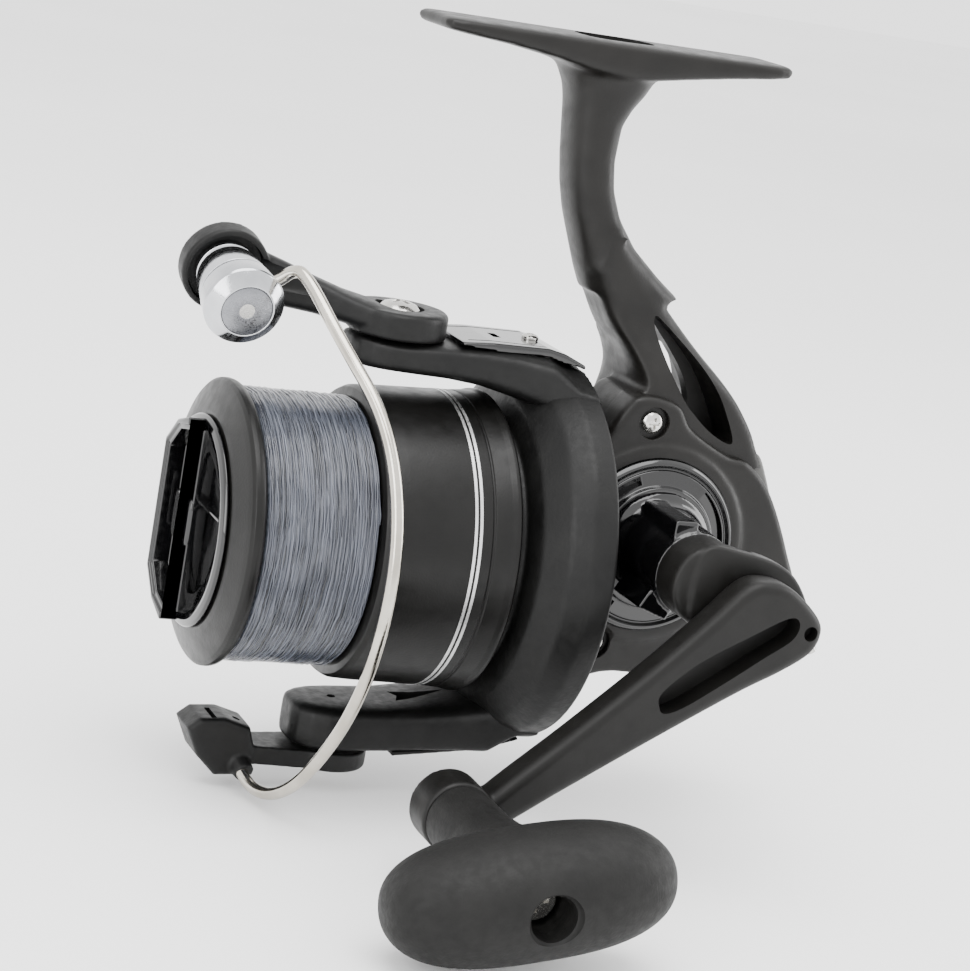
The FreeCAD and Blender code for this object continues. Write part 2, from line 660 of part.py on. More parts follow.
def make_rotor():
    body = new_body("rotor")
    lip, r, w = size("lip_x"), size("lip_radius"), size("rotor_wall")
    tube = size("pinion_tube")
    profile = [(39.8, tube), (39.8, 21.0), (41.0, 22.5), (45.6, 22.5), (46.6, 26.8), (50.0, r - 2.0),
               (53.6, r), (lip, r), (lip, r - w), (54.0, r - w), (51.0, r - w - 1.6), (48.6, 25.8),
               (47.4, 21.2), (46.0, 20.6), (42.0, 20.6), (42.0, tube)]
    turned(body, profile)
    half = size("arm_half")
    top = size("top_seat") - gap
    low = -(size("low_seat") - gap)
    px = size("pivot_x")
    upper = [(px - half, 29.2), (px - half, top), (px + half + 0.3, top), (px + half + 0.7, top + 0.6),
             (50.0, top + 0.6), (57.0, 32.8), (56.0, 27.0), (50.0, 24.0), (47.6, 26.9), (37.0, 28.0)]
    lower = [(px - half, -29.6), (px - half, low), (px + half + 0.3, low), (px + half + 0.7, low + 1.0),
             (50.0, low + 2.4), (57.0, -32.8), (56.0, -26.0), (50.0, -24.0), (47.6, -26.9), (37.0, -28.0)]
    block(body, "XZ", [upper], -half, half * 2)
    block(body, "XZ", [lower], -half, half * 2)
    tip_x = number(px - half)
    rounded(body, half - 0.3, along(Z, lambda c: abs(c.x - tip_x) < 0.1))
    # take the arms' roots out of the cup's rear opening
    turned(body, [(48.6, 0.0), (48.6, 25.8), (51.0, r - w - 1.6), (54.0, r - w), (60.0, r - w), (60.0, 0.0)],
           cut=True)
    # pivot screws' holes, spring's pocket and balance weight's pocket
    block(body, "XY", [("circle", (px, 0.0), PIVOT_THREAD)], top - 4.6, 4.7, cut=True)
    block(body, "XY", [("circle", (px, 0.0), PIVOT_THREAD)], low - 0.1, 4.7, cut=True)
    block(body, "XY", [[(37.0, -3.0), (47.6, -3.0), (47.6, 3.0), (37.0, 3.0)]], 30.2, 6.0, cut=True)
    block(body, "XY", [[(38.0, -4.0), (46.6, -4.0), (46.6, 4.0), (38.0, 4.0)]], low, 4.6, cut=True)

    cover = new_body("spring_cover")
    inset = half - 0.8
    block(cover, "XZ", [[(px + half + 0.8, top + 0.6), (px + half + 0.8, top + 1.4), (50.2, top + 1.6),
                         (57.4, 34.0), (57.4, 33.2), (50.0, top + 0.6)]], -inset, inset * 2)
    block(cover, "XY", [("circle", (COVER_SCREW, 0.0), 0.9)], top, 3.0, cut=True)
    cover = new_body("balance_cover")
    block(cover, "XZ", [[(px + half + 0.8, low + 1.0), (px + half + 0.8, low - 0.2), (50.2, low + 1.7),
                         (57.4, -34.0), (57.4, -33.2), (50.0, low + 2.4)]], -inset, inset * 2)
    block(cover, "XY", [("circle", (COVER_SCREW, 0.0), 0.9)], low - 0.6, 4.0, cut=True)
    keep(box((38.0, -4.0, number(low) + 2.4), (8.6, 8.0, 2.2)), "balance_weight")

    pinion = new_body("pinion_gear")
    bore = size("shaft_radius") + size("shaft_clear")
    turned(pinion, [(36.6, bore), (36.6, tube), (56.4, tube), (56.4, PINION_ROOT), (PINION_END, PINION_ROOT),
                    (PINION_END, bore)])
    add_spur(pinion, PINION_ROOT, PINION_TIP, 0.42, size("pinion_teeth"), 56.9, PINION_END - 56.9, 180.0, "YZ")
    keep(ring(SLEEVE, tube, 7.9, reel_point(42.0, 0.0, 0.0), X), "clutch_sleeve")
    nut = new_body("rotor_nut")
    block(nut, "YZ", [hexagon(5.4)], 37.0, 2.8)
    block(nut, "YZ", [("circle", (0.0, 0.0), tube)], 36.9, 3.0, cut=True)
    spring_path = doc.addObject("Part::Helix", "spring_path")
    spring_path.Pitch = 1.25
    spring_path.Height = 9.0
    spring_path.Radius = 1.7
    wire = doc.addObject("Part::Circle", "spring_wire")
    wire.Radius = 0.32
    wire.Placement = Placement(Vector(1.7, 0, 0), Rotation(Vector(1, 0, 0), 90))
    coil = doc.addObject("Part::Sweep", "bail_spring")
    coil.Sections = [wire]
    coil.Spine = (spring_path, [])
    coil.Solid = True
    coil.Frenet = True
    place(coil, reel_point(38.0, 0.0, top - 1.8), Rotation(Z, X))
    keep(coil, "bail_spring")
    keep(cylinder(1.0, 10.2, reel_point(37.2, 0.0, top - 1.8), X), "spring_guide")
    ups = screw(reel_point(COVER_SCREW, 0.0, top + 1.65), Z, 1.6, 0.9, 0.8, 0.8)
    downs = screw(reel_point(COVER_SCREW, 0.0, low + 1.3), -Z, 1.6, 0.9, 0.8, 0.9)
    group("rotor_cover_screws", [ups, downs])
    upper_pivot = combine("Fuse", cylinder(size("pivot_radius"), size("ear_thick") - HEAD_WELL + gap * 2,
                                           reel_point(px, 0.0, top), Z),
                          cylinder(PIVOT_THREAD, 4.5, reel_point(px, 0.0, top), -Z), "pivot_blank")
    seat = size("top_seat") + size("ear_thick") - HEAD_WELL + gap
    head = screw(reel_point(px, 0.0, seat), Z, 3.6, 1.5, 1.0, 0.5)
    upper_pivot = combine("Fuse", upper_pivot, head, "pivot_screw")
    lower_pivot = combine("Fuse", cylinder(size("pivot_radius"), size("lever_thick") - HEAD_WELL + gap * 2,
                                           reel_point(px, 0.0, low), -Z),
                          cylinder(PIVOT_THREAD, 4.5, reel_point(px, 0.0, low), Z), "pivot_blank")
    seat = HEAD_WELL - size("low_seat") - size("lever_thick") - gap
    head = screw(reel_point(px, 0.0, seat), -Z, 3.6, 1.2, 1.0, 0.5)
    lower_pivot = combine("Fuse", lower_pivot, head, "pivot_screw")
    group("pivot_screws", [upper_pivot, lower_pivot])


def box(low_corner, lengths):
    made = doc.addObject("Part::Box", "box")
    made.Length, made.Width, made.Height = lengths
    place(made, reel_point(*low_corner))
    return made


# ================================================================ bail
TILT = math.radians(number(size("roller_tilt")))
ROLLER_AXIS = Vector(0.0, -math.cos(TILT), -math.sin(TILT))


def on_roller(s):
    """A point `s` along the roller's axis, towards the near side."""
    return (rim + size("roller_x"), ROLLER_AXIS.y * s, drop + size("roller_z") + ROLLER_AXIS.z * s)


def roller_turned(name, loop):
    """A piece turned about the roller's axis; its profile is (along the axis, radius)."""
    body = new_body(name, on_roller(0.0), Rotation(X, ROLLER_AXIS))
    turned(body, loop)
    return body


def rounded_route(corners):
    """Straight runs joined by tangent arcs, each as large as its runs allow."""
    edges, here = [], corners[0]
    for before, corner, after in zip(corners, corners[1:], corners[2:]):
        back, ahead = before - corner, after - corner
        run_length = 0.45 * min(back.Length, ahead.Length)
        start = corner + back.normalize() * run_length
        end = corner + ahead.normalize() * run_length
        bisector = (back + ahead).normalize()
        half_turn = (math.pi - back.getAngle(ahead)) / 2
        radius = run_length / math.tan(half_turn)
        middle = corner + bisector * (radius / math.cos(half_turn) - radius)
        edges.append(Part.LineSegment(here, start).toShape())
        edges.append(Part.Arc(start, middle, end).toShape())
        here = end
    edges.append(Part.LineSegment(here, corners[-1]).toShape())
    return Part.Wire(edges)


def make_bail():
    arm = new_body("arm_plate")
    seat_z, ear = size("top_seat"), size("ear_thick")
    px, half = size("pivot_x"), size("arm_half")
    plate = [(-9.4, 40.6), (-8.6, 43.6), (-6.2, 45.4), (-1.0, 45.6), (7.9, 44.0), (22.0, seat_z + ear),
             (25.0, seat_z + ear - 0.2), (25.0, seat_z + 2.4), (11.0, seat_z + 2.4), (7.0, 34.6),
             (2.0, 34.0), (-2.6, 34.6), (-7.4, 36.8)]
    block(arm, "XZ", [plate], -7.6, 4.6)
    block(arm, "XY", [("circle", (px, 0.0), half)], seat_z, ear)
    pivot_hole = [("circle", (px, 0.0), size("pivot_radius") + run)]
    block(arm, "XY", pivot_hole, seat_z - 0.1, ear + 0.2, cut=True)
    block(arm, "XY", [("circle", (px, 0.0), 4.2)], seat_z + ear - HEAD_WELL, HEAD_WELL + 0.1, cut=True)
    boss = cylinder(6.4, 4.4, on_roller(-8.0), ROLLER_AXIS)
    arm_made = combine("Fuse", arm, boss, "arm_boss")
    for radius, start in ((7.2, -3.6), (ROLLER_PIN, -8.5)):
        arm_made = combine("Cut", arm_made, cylinder(radius, 6.0, on_roller(start), ROLLER_AXIS), "arm_bored")
    pieces.remove(arm)
    keep(arm_made, "bail_arm")

    lever = new_body("bail_lever")
    low, t = -size("low_seat"), size("lever_thick")
    tab = [(-1.4, -35.2), (1.4, -33.0), (9.4, -34.6), (11.0, low - t), (8.4, low - t - 2.0),
           (4.6, low - t - 2.2), (0.7, -39.6)]
    block(lever, "XZ", [tab], -4.4, 8.8)
    block(lever, "XY", [[(8.0, -4.0), (px, -6.0), (px, 6.0), (8.0, 4.0)]], low - t, t)
    block(lever, "XY", [("circle", (px, 0.0), half - 1.4)], low - t, t)
    pivot_hole = [("circle", (px, 0.0), size("pivot_radius") + run)]
    block(lever, "XY", pivot_hole, low - t - 0.1, t + 0.2, cut=True)
    block(lever, "XY", [("circle", (px, 0.0), 4.2)], low - t - 0.1, HEAD_WELL + 0.1, cut=True)

    route = [(1.2, -6.4, 42.2), (3.2, -9.4, 45.2), (8.0, -20.0, 36.4), (14.2, -31.5, 26.0),
             (15.6, -40.0, 11.0), (15.0, -41.2, -6.0), (14.6, -35.0, -21.0), (12.6, -25.4, -34.6),
             (10.6, -14.6, -42.8), (7.6, -2.4, -39.4)]
    path = rounded_route([Vector(number(rim), 0.0, number(drop)) + Vector(*point) for point in route])
    start = path.Edges[0]
    section = Part.Wire(Part.Circle(start.Vertexes[0].Point, start.tangentAt(start.FirstParameter),
                                    number(size("wire_radius"))).toShape())
    tube = doc.addObject("Part::Feature", "wire_tube")
    tube.Shape = path.makePipeShell([section], True, True)
    tube.Placement = Placement()
    cap_profile = [(4.2, ROLLER_PIN), (4.2, 5.0), (5.2, 6.6), (8.0, 6.7), (10.6, 4.4), (10.6, ROLLER_PIN)]
    cap = roller_turned("wire_cap", cap_profile)
    pieces.remove(cap)
    drilled = combine("Cut", cap, tube, "cap_drilled")
    keep(drilled, "roller_cap")
    pieces.remove(lever)
    lever.Label = "lever_blank"
    keep(combine("Cut", lever, tube, "lever_drilled"), "bail_lever")
    keep(tube, "bail_wire")
    keep(cylinder(ROLLER_PIN, 18.4, on_roller(-8.0), ROLLER_AXIS), "roller_pin")
    keep(ring(2.6, ROLLER_PIN, 7.2, on_roller(-3.3), ROLLER_AXIS), "roller_bush")
    r = size("roller_radius")
    bore = 2.6 + run
    roller_turned("line_roller", [(-3.2, bore), (-3.2, r), (-2.4, r), (-1.4, r - 1.5), (1.8, r - 1.5),
                                  (2.8, r), (3.8, r), (3.8, bore)])


# ================================================================ shaft, spool and drag
def make_shaft():
    shaft = new_body("main_shaft")
    r = size("shaft_radius")
    turned(shaft, [(-6.0, 0.0), (-6.0, r), (97.0, r), (97.0, 0.0)])
    block(shaft, "XY", [("circle", (SEAT_PIN_X, 0.0), 0.6)], -r - 0.1, r * 2 + 0.2, cut=True)
    keep(cylinder(0.6, 9.0, reel_point(SEAT_PIN_X, 0.0, -4.5), Z), "shaft_pin")
    seat_disc = new_body("spool_seat")
    turned(seat_disc, [(24.2, r), (24.2, 6.0), (26.4, 6.0), (26.4, r)])
    block(seat_disc, "XY", [("circle", (SEAT_PIN_X, 0.0), 0.6)], -7.0, 14.0, cut=True)
    keep(ring(2.7, r, 0.8, reel_point(95.7, 0.0, 0.0), X), "shaft_clip")
    slider = new_body("oscillation_slider")
    block(slider, "XZ", [[(88.6, -11.6), (95.6, -11.6), (95.6, 12.4), (88.6, 12.4)]], -2.5, 5.0)
    block(slider, "XZ", [[(90.7, 1.9), (93.5, 1.9), (93.5, 11.0), (90.7, 11.0)]], -2.6, 1.4, cut=True)
    block(slider, "YZ", [("circle", (0.0, 0.0), r)], 88.0, 8.0, cut=True)
    block(slider, "YZ", [("circle", (0.0, ROD_Z), ROD_RADIUS + run)], 88.0, 8.0, cut=True)
    t = size("washer_thick")
    wide = size("washer_radius")
    for name, outer, inner, places in (("felt_drag_washers", wide, r + 0.6, (1, 3, 5)),
                                       ("steel_drag_washers", wide - 0.4, r, (2, 4, 6))):
        group(name, [ring(outer, inner, t, reel_point(9.0 - t * k, 0.0, 0.0), X) for k in places])


def make_spool():
    spool = new_body("spool")
    bore = size("shaft_radius") + size("shaft_clear")
    pocket = size("washer_radius") + 0.4
    rim_r, arbor = size("rim_radius"), size("arbor_radius")
    line_end = 2.6 + size("line_width")
    skirt, skirt_end, back = line_end + size("skirt_lip"), size("skirt_end"), size("skirt_radius")
    w = size("skirt_wall")
    turned(spool, [(9.0, bore), (9.0, pocket), (-4.3, pocket), (-4.3, 18.2), (-0.7, rim_r - 0.7),
                   (0.0, rim_r), (1.4, rim_r), (2.2, rim_r - 1.4), (2.6, arbor), (line_end, arbor),
                   (skirt, back - 2.4), (skirt + 0.8, back - 1.4), (skirt + 2.0, back - 1.1),
                   (38.4, back - 0.6), (skirt_end - 0.6, back), (skirt_end, back - 0.6),
                   (skirt_end, back - w), (38.4, back - w - 0.6), (skirt + 2.6, back - w - 1.1),
                   (skirt + 2.2, arbor - 1.8), (11.0, arbor - 1.8), (11.0, 6.0), (24.0, 6.0), (24.0, bore)])
    winding = new_body("line_winding")
    full = size("line_radius")
    turned(winding, [(2.7, arbor), (2.5, full - 0.3), (2.9, full), (line_end - 0.1, full),
                     (line_end + 0.1, full - 0.4), (line_end - 0.1, arbor)])
    keep(ring(pocket, 8.4, 0.8, reel_point(3.2, 0.0, 0.0), X), "washer_retainer")
    click = new_body("click_ratchet")
    turned(click, [(20.8, 6.0), (20.8, 9.0), (21.8, 9.0), (21.8, 6.0)])
    add_spur(click, 9.0, 9.9, 0.5, 24, 20.8, 1.0, 0.0, "YZ")


def make_drag_knob():
    knob = new_body("drag_knob")
    r, front = size("drag_radius"), -size("knob_front")
    flat = 11.4
    turned(knob, [(-6.2, 0.0), (-6.2, r), (-5.6, r + 0.2), (-4.6, r), (-4.6, 6.4), (4.0, 6.4), (4.0, 0.0)])
    top = math.sqrt(17.2 ** 2 - flat ** 2)
    wall_outline = [(-flat, -top), (-6.0, -16.2), (0.0, -17.2), (6.0, -16.2), (flat, -top), (flat, top),
                    (6.0, 16.2), (0.0, 17.2), (-6.0, 16.2), (-flat, top)]
    dish = [(y * 0.885, z * 0.925) for y, z in wall_outline]
    block(knob, "YZ", [wall_outline], front, 6.2 * -1 - front)
    block(knob, "YZ", [dish], front - 0.1, -6.4 - front, cut=True)
    block(knob, "YZ", [[(-0.7, -15.6), (0.7, -15.6), (0.7, 15.6), (-0.7, 15.6)]], front + 0.6, -6.3 - front)
    block(knob, "YZ", [[(-3.0, -3.4), (3.0, -3.4), (3.0, 3.4), (-3.0, 3.4)]], front + 0.2, -6.2 - front)
    bore = size("shaft_radius") + size("shaft_clear")
    block(knob, "YZ", [("circle", (0.0, 0.0), bore)], -6.3, 10.4, cut=True)
    block(knob, "YZ", [hexagon(3.6)], -1.0, 3.0, cut=True)
    nut = new_body("drag_nut")
    block(nut, "YZ", [hexagon(3.6)], -1.0, 3.0)
    block(nut, "YZ", [("circle", (0.0, 0.0), bore)], -1.1, 3.2, cut=True)
    keep(ring(5.6, 1.9, 0.2, reel_point(4.0, 0.0, 0.0), X), "knob_washer")


def make_oscillation_gear():
    gear = new_body("oscillation_gear", (rim + OSC_X, 0.0, drop + size("gear_z")))
    turned(gear, [(STUD + run, 4.0), (8.1, 4.0), (8.1, 6.0), (STUD + run, 6.0)], "XY", "V_Axis")
    block(gear, "XZ", [("circle", (6.6, 0.0), 1.2)], -4.5, 1.6)
    add_spur(gear, 8.1, 9.3, 0.42, 24, -6.0, 2.0, 7.5)


def make_reverse_lever():
    lever = new_body("anti_reverse_lever")
    block(lever, "XY", [("circle", (LEVER_X, 0.0), LEVER_STEM)], -19.0, 5.0)
    front, back = LEVER_X - 4.0, LEVER_X + 3.6
    block(lever, "XY", [[(front, -2.0), (back, -2.0), (back, 2.0), (front, 2.0)]], -20.4, 1.7)
    block(lever, "XZ", [[(LEVER_X - 3.6, -20.0), (LEVER_X + 1.2, -20.0), (LEVER_X + 0.6, -24.0),
                         (LEVER_X - 3.0, -23.4)]], -1.2, 2.4)


# ---------------------------------------------------------------- build, check and write
make_housing()
make_cover()
make_guard()
make_fixed_parts()
make_crank()
make_arm()
make_rotor()
make_bail()
make_shaft()
make_spool()
make_drag_knob()
make_oscillation_gear()
make_reverse_lever()
doc.recompute()

for thing in doc.Objects:
    if "Invalid" in thing.State or "Error" in thing.State:
        raise RuntimeError(f"{thing.Name} ({thing.Label}) did not build: {thing.State}")
for piece in pieces:
    if piece.Shape.isNull() or not piece.Shape.isValid() or not piece.Shape.Solids:
        raise RuntimeError(f"{piece.Label} has no valid solid")

os.makedirs("parts", exist_ok=True)
for piece in pieces:
    piece.Shape.exportStep(f"parts/{piece.Label}.step")
print(len(pieces), "pieces written")
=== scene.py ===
# Spinning reel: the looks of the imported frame.  The skins are shaped from clay-like volumes, the
# turned pieces are lathed from profiles, and the line and the screws are grown with Geometry Nodes.
import json
import math

import bmesh
import bpy
from mathutils import Matrix, Vector


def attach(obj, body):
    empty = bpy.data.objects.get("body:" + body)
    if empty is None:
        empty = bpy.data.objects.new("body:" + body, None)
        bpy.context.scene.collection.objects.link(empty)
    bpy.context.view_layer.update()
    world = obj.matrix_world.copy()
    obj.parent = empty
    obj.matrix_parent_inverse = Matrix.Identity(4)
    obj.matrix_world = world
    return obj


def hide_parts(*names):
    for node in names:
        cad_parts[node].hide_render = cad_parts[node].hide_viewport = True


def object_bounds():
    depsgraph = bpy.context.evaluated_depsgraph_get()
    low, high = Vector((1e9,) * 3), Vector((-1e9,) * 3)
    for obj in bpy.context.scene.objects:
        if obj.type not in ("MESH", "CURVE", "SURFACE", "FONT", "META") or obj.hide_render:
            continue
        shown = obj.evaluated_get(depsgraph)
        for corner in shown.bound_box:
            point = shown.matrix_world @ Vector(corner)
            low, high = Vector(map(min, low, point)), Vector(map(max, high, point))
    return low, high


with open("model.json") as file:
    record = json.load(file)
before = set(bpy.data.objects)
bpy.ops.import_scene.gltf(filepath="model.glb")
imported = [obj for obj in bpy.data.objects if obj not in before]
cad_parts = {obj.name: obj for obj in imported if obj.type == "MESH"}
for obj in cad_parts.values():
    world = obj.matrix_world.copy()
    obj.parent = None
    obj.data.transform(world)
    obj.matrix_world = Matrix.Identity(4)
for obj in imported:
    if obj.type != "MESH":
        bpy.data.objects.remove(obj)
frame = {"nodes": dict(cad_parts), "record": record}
cad_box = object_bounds()
nodes = frame["nodes"]

MM = 0.001
# Pieces are drawn in mm from the centre of the spool's front rim: x to the rear along the shaft,
# y to the far side, z up.
RIM = Vector((-54.0, 0.0, -88.0))


# ---------------------------------------------------------------- materials
class Finish:
    """A material under construction: a shader and the grain that drives it."""

    def __init__(self, name, roughness, metallic=0.0, **sockets):
        self.material = bpy.data.materials.new(name)
        self.material.use_nodes = True
        self.tree = self.material.node_tree
        self.shader = self.tree.nodes["Principled BSDF"]
        self.place = self.add("ShaderNodeTexCoord").outputs["Object"]
        self.set("Metallic", metallic)
        self.set("Roughness", roughness)
        for socket, value in sockets.items():
            self.set(socket.replace("_", " "), value)

    def add(self, kind, **settings):
        node = self.tree.nodes.new(kind)
        for key, value in settings.items():
            setattr(node, key, value)
        return node

    def set(self, socket, value):
        self.shader.inputs[socket].default_value = value

    def link(self, source, target):
        self.tree.links.new(source, target)

    def noise(self, scale, detail=4.0, stretch=None):
        """Noise whose grains are about 1/scale metres, drawn out by `stretch`."""
        texture = self.add("ShaderNodeTexNoise")
        texture.inputs["Scale"].default_value = scale
        texture.inputs["Detail"].default_value = detail
        place = self.place
        if stretch:
            mapping = self.add("ShaderNodeMapping")
            mapping.inputs["Scale"].default_value = stretch
            self.link(place, mapping.inputs["Vector"])
            place = mapping.outputs["Vector"]
        self.link(place, texture.inputs["Vector"])
        return texture.outputs["Fac"]

    def spread(self, value, low, high, start=0.35, end=0.65):
        """Maps a noise value from start..end to low..high."""
        scaled = self.add("ShaderNodeMapRange")
        for socket, number in zip(("From Min", "From Max", "To Min", "To Max"), (start, end, low, high)):
            scaled.inputs[socket].default_value = number
        self.link(value, scaled.inputs["Value"])
        return scaled.outputs["Result"]

    def colour(self, value, dark, light, start=0.35, end=0.65):
        ramp = self.add("ShaderNodeValToRGB")
        ramp.color_ramp.elements[0].position = start
        ramp.color_ramp.elements[0].color = (*dark, 1.0)
        ramp.color_ramp.elements[1].position = end
        ramp.color_ramp.elements[1].color = (*light, 1.0)
        self.link(value, ramp.inputs["Fac"])
        self.link(ramp.outputs["Color"], self.shader.inputs["Base Color"])
        return ramp

    def vary_roughness(self, value, low, high):
        self.link(self.spread(value, low, high), self.shader.inputs["Roughness"])

    def bump(self, value, height, strength=1.0):
        bump = self.add("ShaderNodeBump")
        bump.inputs["Strength"].default_value = strength
        bump.inputs["Distance"].default_value = height
        self.link(value, bump.inputs["Height"])
        self.link(bump.outputs["Normal"], self.shader.inputs["Normal"])
        return bump


def painted(name, dark, light, rough, grain=2600.0, height=0.00002, coat=0.0, specular=0.5):
    """Paint over a casting: cloudy tone, fine orange peel and uneven gloss."""
    made = Finish(name, rough, Coat_Weight=coat, Coat_Roughness=0.12, Specular_IOR_Level=specular)
    made.colour(made.noise(90.0), dark, light)
    made.vary_roughness(made.noise(420.0), rough - 0.05, rough + 0.06)
    made.bump(made.noise(grain, 2.0), height)
    return made.material


def moulded(name, dark, light, rough, grain=1500.0, height=0.00004):
    """Moulded plastic with a spark-eroded grain."""
    made = Finish(name, rough, Specular_IOR_Level=0.22)
    made.colour(made.noise(150.0), dark, light)
    made.vary_roughness(made.noise(700.0), rough - 0.06, rough + 0.06)
    made.bump(made.noise(grain, 3.0), height)
    return made.material


def lacquered(name, dark, light, rough):
    """Gloss black: smooth, with faint flow marks and dust-fine unevenness."""
    made = Finish(name, rough, Coat_Weight=0.25, Coat_Roughness=0.05)
    made.colour(made.noise(60.0), dark, light)
    made.vary_roughness(made.noise(900.0), rough * 0.7, rough * 1.5)
    made.bump(made.noise(240.0, 1.0), 0.00003, 0.35)
    return made.material


def metal(name, dark, light, rough, stretch=(1.0, 1.0, 1.0), height=0.000006):
    """Worked metal: fine tool marks along one direction and a slight stain."""
    made = Finish(name, rough, 1.0)
    made.colour(made.noise(120.0), dark, light)
    marks = made.noise(3500.0, 2.0, stretch)
    made.vary_roughness(marks, rough * 0.65, rough * 1.4)
    made.bump(marks, height)
    return made.material


def line_finish():
    """Clear monofilament: bluish grey and glassy, paler and darker at random along each turn."""
    made = Finish("clear_monofilament", 0.22, Coat_Weight=0.4, Coat_Roughness=0.15)
    shade = made.add("ShaderNodeAttribute", attribute_name="shade").outputs["Fac"]
    made.colour(shade, (0.012, 0.014, 0.020), (0.105, 0.115, 0.145), 0.3, 0.78)
    made.vary_roughness(made.noise(1800.0), 0.10, 0.26)
    made.bump(made.noise(3000.0, 2.0, (4.0, 1.0, 1.0)), 0.00003)
    return made.material


def felt_finish():
    made = Finish("drag_felt", 0.95, Sheen_Weight=0.4)
    made.colour(made.noise(800.0, 8.0), (0.34, 0.29, 0.21), (0.60, 0.55, 0.45))
    made.bump(made.noise(5000.0, 6.0), 0.0001)
    return made.material


FINISHES = {
    "body_satin": painted("body_charcoal",
                          (0.0036, 0.0032, 0.0028), (0.0064, 0.0058, 0.0051), 0.40, specular=0.24),
    "guard_grey": painted("guard_graphite", (0.045, 0.044, 0.042), (0.075, 0.074, 0.070), 0.36),
    "gloss_black": lacquered("gloss_black", (0.0014, 0.0014, 0.0016), (0.003, 0.003, 0.0034), 0.10),
    "satin_black": moulded("satin_black", (0.0026, 0.0026, 0.0026), (0.0048, 0.0048, 0.0046), 0.45),
    "spool_black": painted("spool_anodised",
                           (0.0028, 0.0027, 0.0025), (0.0048, 0.0046, 0.0043), 0.34, specular=0.22),
    "mono_line": line_finish(),
    "handle_satin": painted("handle_graphite",
                            (0.0030, 0.0028, 0.0025), (0.0054, 0.0051, 0.0046), 0.44, specular=0.22),
    "soft_knob": moulded("soft_touch",
                         (0.0038, 0.0037, 0.0034), (0.0064, 0.0062, 0.0058), 0.60, 2200.0, 0.00005),
    "bright_steel": metal("bright_steel", (0.46, 0.45, 0.43), (0.66, 0.65, 0.62), 0.18),
    "wire_nickel": metal("wire_nickel", (0.40, 0.37, 0.32), (0.56, 0.53, 0.47), 0.16),
    "roller_chrome": metal("roller_chrome", (0.42, 0.43, 0.45), (0.60, 0.61, 0.63), 0.14),
    "gear_zinc": metal("gear_zinc", (0.34, 0.34, 0.34), (0.55, 0.55, 0.54), 0.42, height=0.00002),
    "gear_brass": metal("gear_brass", (0.56, 0.39, 0.15), (0.80, 0.62, 0.30), 0.24),
    "inner_nylon": moulded("natural_nylon", (0.62, 0.61, 0.57), (0.80, 0.79, 0.75), 0.42),
    "drag_felt": felt_finish(),
}
SLOT_OF = {part["node"]: part["material_slot"] for part in frame["record"]["subparts"]}
for name, node in nodes.items():
    node.data.materials.clear()
    node.data.materials.append(FINISHES[SLOT_OF[name]])


def bed_finish():
    """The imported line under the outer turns: darker, with streaks that run round the spool."""
    made = Finish("packed_line", 0.3, Coat_Weight=0.3)
    made.colour(made.noise(1500.0, 3.0, (4.0, 1.0, 1.0)), (0.02, 0.024, 0.032), (0.08, 0.09, 0.11))
    made.bump(made.noise(4000.0, 2.0, (5.0, 0.6, 0.6)), 0.00005)
    return made.material


LINE_BED = bed_finish()
CAP_FACE = metal("cap_face", (0.16, 0.165, 0.18), (0.26, 0.265, 0.28), 0.30)
BAND_SILVER = metal("band_silver", (0.55, 0.55, 0.55), (0.72, 0.72, 0.72), 0.4)


# ---------------------------------------------------------------- shaping
def smooth_loop(corners, steps=8):
    """A closed curve through (a, b) corners, passing each one smoothly."""
    count, curve = len(corners), []
    for k in range(count):
        before, here, after, beyond = (Vector(corners[(k + j) % count]) for j in (-1, 0, 1, 2))
        for s in range(steps):
            t = s / steps
            bend = (after - before) * t + (before * 2 - here * 5 + after * 4 - beyond) * t * t
            bend += (here * 3 - before - after * 3 + beyond) * t ** 3
            curve.append(tuple(here + bend * 0.5))
    return curve


def oval(centre, across, along, wide, tall, power=2.4, steps=48):
    """A ring of points: a rounded oblong with half sizes `wide` and `tall`."""
    ring = []
    for k in range(steps):
        turn = 2 * math.pi * k / steps
        c, s = math.cos(turn), math.sin(turn)
        u = math.copysign(abs(c) ** (2 / power), c) * wide
        v = math.copysign(abs(s) ** (2 / power), s) * tall
        ring.append(Vector(centre) + Vector(across) * u + Vector(along) * v)
    return ring


def oval_plan(y, z, wide, tall):
    """A rounded block's (y, z) outline about a centre."""
    return [(point.x, point.y) for point in oval((y, z, 0), (1, 0, 0), (0, 1, 0), wide, tall, 5.0, 32)]


